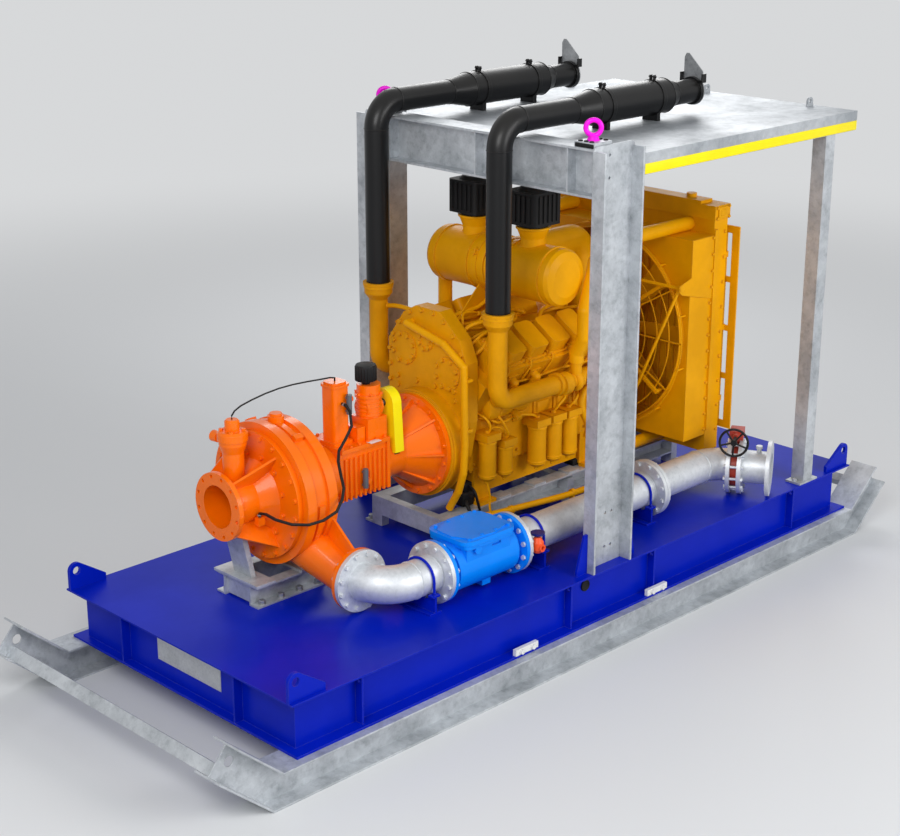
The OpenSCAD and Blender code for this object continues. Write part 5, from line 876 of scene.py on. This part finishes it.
finish_piece(join([pump_bolts, cover_ring, plug], "pump_bolts"), "frame", pump_orange)
finish_piece(lid_ring, "frame", pump_orange)

# %% [markdown]
# The bearing housing carries a small plate without any marking.

# %% Bare plate
plate = block((-968, 8, 1306.2), (-884, 50, 1308.4), "bare_plate", bevel=0.4)
finish_piece(plate, "frame", plate_white)
print("bare plate", round(plate.dimensions.x, 3), "m long")

# %% [markdown]
# A worm clamp is a thin band with a small screw box on it.

# %% Worm clamps on the sensing hose
small_clamps = []
for centre, direction in (((-1785, 57, 1070), (0, 0, 1)), ((-1095, 100, 1560), (0, 1, 0))):
    bpy.ops.object.select_all(action="DESELECT")
    bpy.ops.mesh.primitive_cylinder_add(vertices=32, radius=0.0096, depth=0.009, end_fill_type="NOTHING")
    hoop = bpy.context.active_object
    apply_modifier(hoop, "SOLIDIFY", thickness=0.0012, offset=1)
    screw = block((8, -5, -5), (16, 5, 5), "screw", bevel=1)
    clamp = join([hoop, screw], "clamp")
    clamp.data.transform(stand(millimetres(*centre), direction))
    small_clamps.append(clamp)
finish_piece(join(small_clamps, "hose_clamps"), "frame", worked_steel)
print("pump dressed")

# %% [markdown]
# Under the near exhaust riser sits the oil cooler, a round-ended body with a
# flange. A slack pipe runs along the foot of the engine, and a thinner one
# drains the first filter. All of them are bars whose ends are rounded.

# %% Oil cooler, foot pipe and drain
cooler = [
    round_bar((-128, -78, 1348), (250, -78, 1348), 88, "cooler", vertices=56, bevel=34),
    round_bar((-40, -78, 1348), (-22, -78, 1348), 97, "cooler", vertices=56, bevel=3),
    round_bar((90, -150, 1300), (90, -205, 1262), 22, "cooler", vertices=32, bevel=3),
]
finish_piece(join(cooler, "oil_cooler"), "frame", engine_yellow)
foot_pipe = [
    pipe_run([(-250, -118, 668), (-76, -150, 655), (140, -185, 652), (642, -257, 650), (880, -262, 662), (1040, -215, 720),
              (1115, -150, 822)], 21, "pipe", sides=6),
    pipe_run([(-118, -150, 745), (-116, -152, 700), (-100, -150, 668)], 8, "drain"),
    pipe_run([(1010, -150, 1420), (930, -170, 1330), (720, -172, 1262), (790, -172, 1010), (800, -150, 960)], 25, "return", sides=6),
]
for x in (60, 560):
    y = -150 - (x + 76) * 0.15
    foot_pipe.append(strap((x, y, 652), (1, -0.15, 0), 22, 24, "pipe_clip", lug_turn=-90))
finish_piece(join(foot_pipe, "foot_pipes"), "frame", sheet_yellow, smooth=50)
print("cooler and foot pipes done")

# %% [markdown]
# Behind the bell the engine sits on a large rubber block between two plates,
# with the wiring of the sender beside it.

# %% Rubber block behind the bell
rear_block = [
    block((-262, -62, 720), (-150, 40, 812), "rubber", bevel=12),
    block((-240, -50, 808), (-170, 30, 872), "rubber", bevel=10),
    pipe_run([(-240, -60, 760), (-262, -100, 740), (-250, -120, 700), (-190, -124, 690)], 12, "wire"),
    pipe_run([(-205, -60, 850), (-215, -112, 830), (-205, -128, 770), (-180, -126, 700)], 9, "wire"),
]
finish_piece(join(rear_block, "rear_engine_block"), "frame", rubber_black, smooth=50)
print("rubber block done")

# %% [markdown]
# A folded plate covers the upper part of the shroud's side and runs out to a
# boss in front of the fan. Two round struts join the bosses of both sides
# below the fan shaft. The plate is drawn as an outline, given a thickness and
# rounded along its edges.

# %% Side plates and struts of the shroud
def flat_plate(outline, y, thickness, name):
    """A plate that stands along X, from its outline in X and Z, its inner face on y."""
    shape = bmesh.new()
    shape.faces.new([shape.verts.new(millimetres(x, y, z)) for x, z in outline])
    data = bpy.data.meshes.new(name)
    shape.to_mesh(data)
    shape.free()
    item = bpy.data.objects.new(name, data)
    bpy.context.scene.collection.objects.link(item)
    only(item)
    bpy.ops.object.mode_set(mode="EDIT")
    bpy.ops.mesh.select_all(action="SELECT")
    bpy.ops.mesh.extrude_region_move(TRANSFORM_OT_translate={"value": (0, thickness / 1000, 0)})
    bpy.ops.mesh.select_all(action="SELECT")
    bpy.ops.mesh.normals_make_consistent(inside=False)
    bpy.ops.object.mode_set(mode="OBJECT")
    apply_modifier(item, "BEVEL", width=0.0015, segments=2, limit_method="ANGLE", angle_limit=math.radians(40))
    return item


fan_z, boss_z, strut_x = 1551, 1936, 1276
side_outline = [(1375, 2237), (1598, 2237), (1598, 1815), (1283, 1890), (1254, 1915), (1254, 1955), (1375, 1990)]
shroud_parts = []
for side in (-1, 1):
    side_y = drive_y + side * 706
    shroud_parts.append(flat_plate(side_outline, side_y, side * 10, "side_plate"))
    shroud_parts.append(round_bar((strut_x, side_y - side * 22, boss_z), (strut_x, side_y + side * 16, boss_z), 20, "boss"))
    shroud_parts.append(round_bar((strut_x, side_y - side * 10, boss_z), (strut_x, drive_y + side * 225, 872), 11, "strut"))
    shroud_parts.append(round_bar((strut_x, drive_y + side * 225, 884), (1382, drive_y + side * 225, 884), 11, "strut"))
shroud_parts.append(round_bar((strut_x, drive_y - 690, boss_z), (strut_x, drive_y + 690, boss_z), 11, "strut"))
finish_piece(join(shroud_parts, "shroud_frame"), "frame", sheet_yellow)
print("shroud frame done")

# %% [markdown]
# Each swivel eye stands between two black pads with three knobs each.

# %% Pads of the swivel eyes
eye_x, pad_z = -37.5, 3071
for side, label in ((-1, "near"), (1, "far")):
    pad = []
    for x0, x1 in ((-118, -79), (4, 38)):
        pad.append(block((eye_x + 37.5 + x0, side * 860 - 70, pad_z), (eye_x + 37.5 + x1, side * 860 + 70, pad_z + 26), "pad", bevel=7))
        for y in (-42, 0, 42):
            pad.append(round_bar((x0 / 2 + x1 / 2, side * 860 + y, pad_z + 22), (x0 / 2 + x1 / 2, side * 860 + y, pad_z + 41), 14,
                                 "knob", bevel=5))
    finish_piece(join(pad, "eye_pads_" + label), "frame", moulded_black)
print("eye pads done")

# %% [markdown]
# Each filter can gets a pressed rim under its head, a ring near its foot and a
# drain cock. The cap of the vacuum pump is a ribbed black moulding that slips
# over its breather.

# %% Rims of the filters and the breather cap
filter_y, cans = -135, ((-125, 900, 56, 260), (30, 890, 52, 200), (330, 880, 60, 270), (480, 880, 60, 270), (630, 880, 60, 270))
rims = []
for x, foot_z, radius, height in cans:
    rims.append(round_bar((x, filter_y, foot_z + height - 22), (x, filter_y, foot_z + height - 4), radius + 5, "rim", vertices=40, bevel=4))
    rims.append(round_bar((x, filter_y, foot_z + 26), (x, filter_y, foot_z + 34), radius + 3, "rim", vertices=40, bevel=2))
    rims.append(round_bar((x, filter_y, foot_z - 12), (x, filter_y, foot_z + 4), radius * 0.55, "foot", vertices=32, bevel=5))
    rims.append(round_bar((x, filter_y, foot_z - 34), (x, filter_y, foot_z - 8), 11, "cock", vertices=16, bevel=2))
    rims.append(round_bar((x - 18, filter_y, foot_z - 24), (x + 18, filter_y, foot_z - 24), 6, "cock", vertices=16, bevel=2))
finish_piece(join(rims, "filter_rims"), "frame", sheet_yellow)

cap_x, cap_y, cap_z = -885, 140, 1657
cap = [round_bar((cap_x, cap_y, cap_z - 3), (cap_x, cap_y, cap_z + 98), 62, "cap", vertices=64, bevel=8)]
for place in round_circle(millimetres(cap_x, cap_y, cap_z), (0, 0, 1), 0.062, 24):
    rib_x, rib_y = place.translation.x * 1000, place.translation.y * 1000
    cap.append(round_bar((rib_x, rib_y, cap_z), (rib_x, rib_y, cap_z + 86), 4, "rib", vertices=10, bevel=1))
cap.append(round_bar((cap_x, cap_y, cap_z - 26), (cap_x, cap_y, cap_z), 24, "neck", vertices=32, bevel=2))
finish_piece(join(cap, "breather_cap"), "frame", moulded_black)
print(len(cans), "filters and a cap")

# %% [markdown]
# Between the drums and the heads runs the clutter of a real engine: the oil
# feeds of the turbochargers, air hoses and the pipe from the far riser.

# %% Hoses and oil feeds under the drums
clutter = [
    ([(-215, 690, 1880), (-215, 560, 1900), (-190, 420, 1880), (-160, 320, 1840), (-150, 270, 1800)], 15),
    ([(-150, 330, 1700), (-60, 330, 1800), (60, 300, 1850), (200, 260, 1880), (300, 240, 1950)], 14),
    ([(-190, 60, 1790), (-120, 40, 1850), (0, 30, 1862), (120, 60, 1850), (220, 80, 1850)], 13),
    ([(-180, -20, 1745), (-90, -50, 1810), (60, -70, 1850), (210, -40, 1850), (300, 40, 1850)], 10),
    ([(0, -80, 1760), (60, -40, 1850), (180, 20, 1880), (290, 60, 1880), (404, 60, 1840)], 12),
    ([(420, -60, 1770), (470, -20, 1840), (560, 20, 1850), (680, 40, 1850), (800, 60, 1820)], 15),
    ([(470, 300, 1760), (560, 280, 1850), (700, 270, 1860), (860, 280, 1850), (980, 250, 1780)], 15),
    ([(-60, 150, 1700), (-60, 150, 1850), (-30, 180, 1880), (60, 200, 1880), (150, 200, 1850)], 9),
]
hoses = [pipe_run(points, radius, "hose") for points, radius in clutter]
for points, radius in clutter:
    for end, inner in ((points[0], points[1]), (points[-1], points[-2])):
        away = (Vector(inner) - Vector(end)).normalized() * 26
        hoses.append(round_bar(end, tuple(Vector(end) + away), radius + 6, "union", vertices=6, bevel=2))
finish_piece(join(hoses, "engine_hoses"), "frame", sheet_yellow, smooth=50)
print(len(clutter), "hoses")

# %% [markdown]
# The shroud and the side posts of the radiator are bolted together, and each
# end of the header tank has a small cast cover of its own.

# %% Bolts of the cooling pack
pack = []
for side in (-1, 1):
    for z in range(905, 2230, 110):
        face = 706 if z < 1815 else 716
        pack.append(stand(millimetres(1585, drive_y + side * face, z), (0, side, 0)))
    for z in range(880, 2300, 171):
        pack.append(stand(millimetres(1712, drive_y + side * 710, z), (0, side, 0)))
    for x in (1608, 1732):
        for z in (2348, 2417):
            pack.append(stand(millimetres(x, drive_y + side * 720, z), (0, side, 0)))
cooling_bolts = place_copies(small_bolt, pack, "cooling_bolts")
end_covers = [cast_lid((1670, drive_y + side * 719.5, 2382), (100, 78), (0, side, 0), "end_cover", rise=5) for side in (-1, 1)]
finish_piece(join([cooling_bolts, *end_covers], "cooling_pack_bolts"), "frame", sheet_yellow)
print(len(pack), "bolts on the cooling pack")

# %% [markdown]
# The bolts and other patterns that were copied have done their work, so they
# are removed.

# %% Removing the copied patterns
for pattern in (small_bolt, middle_bolt, large_bolt):
    bpy.data.objects.remove(pattern)
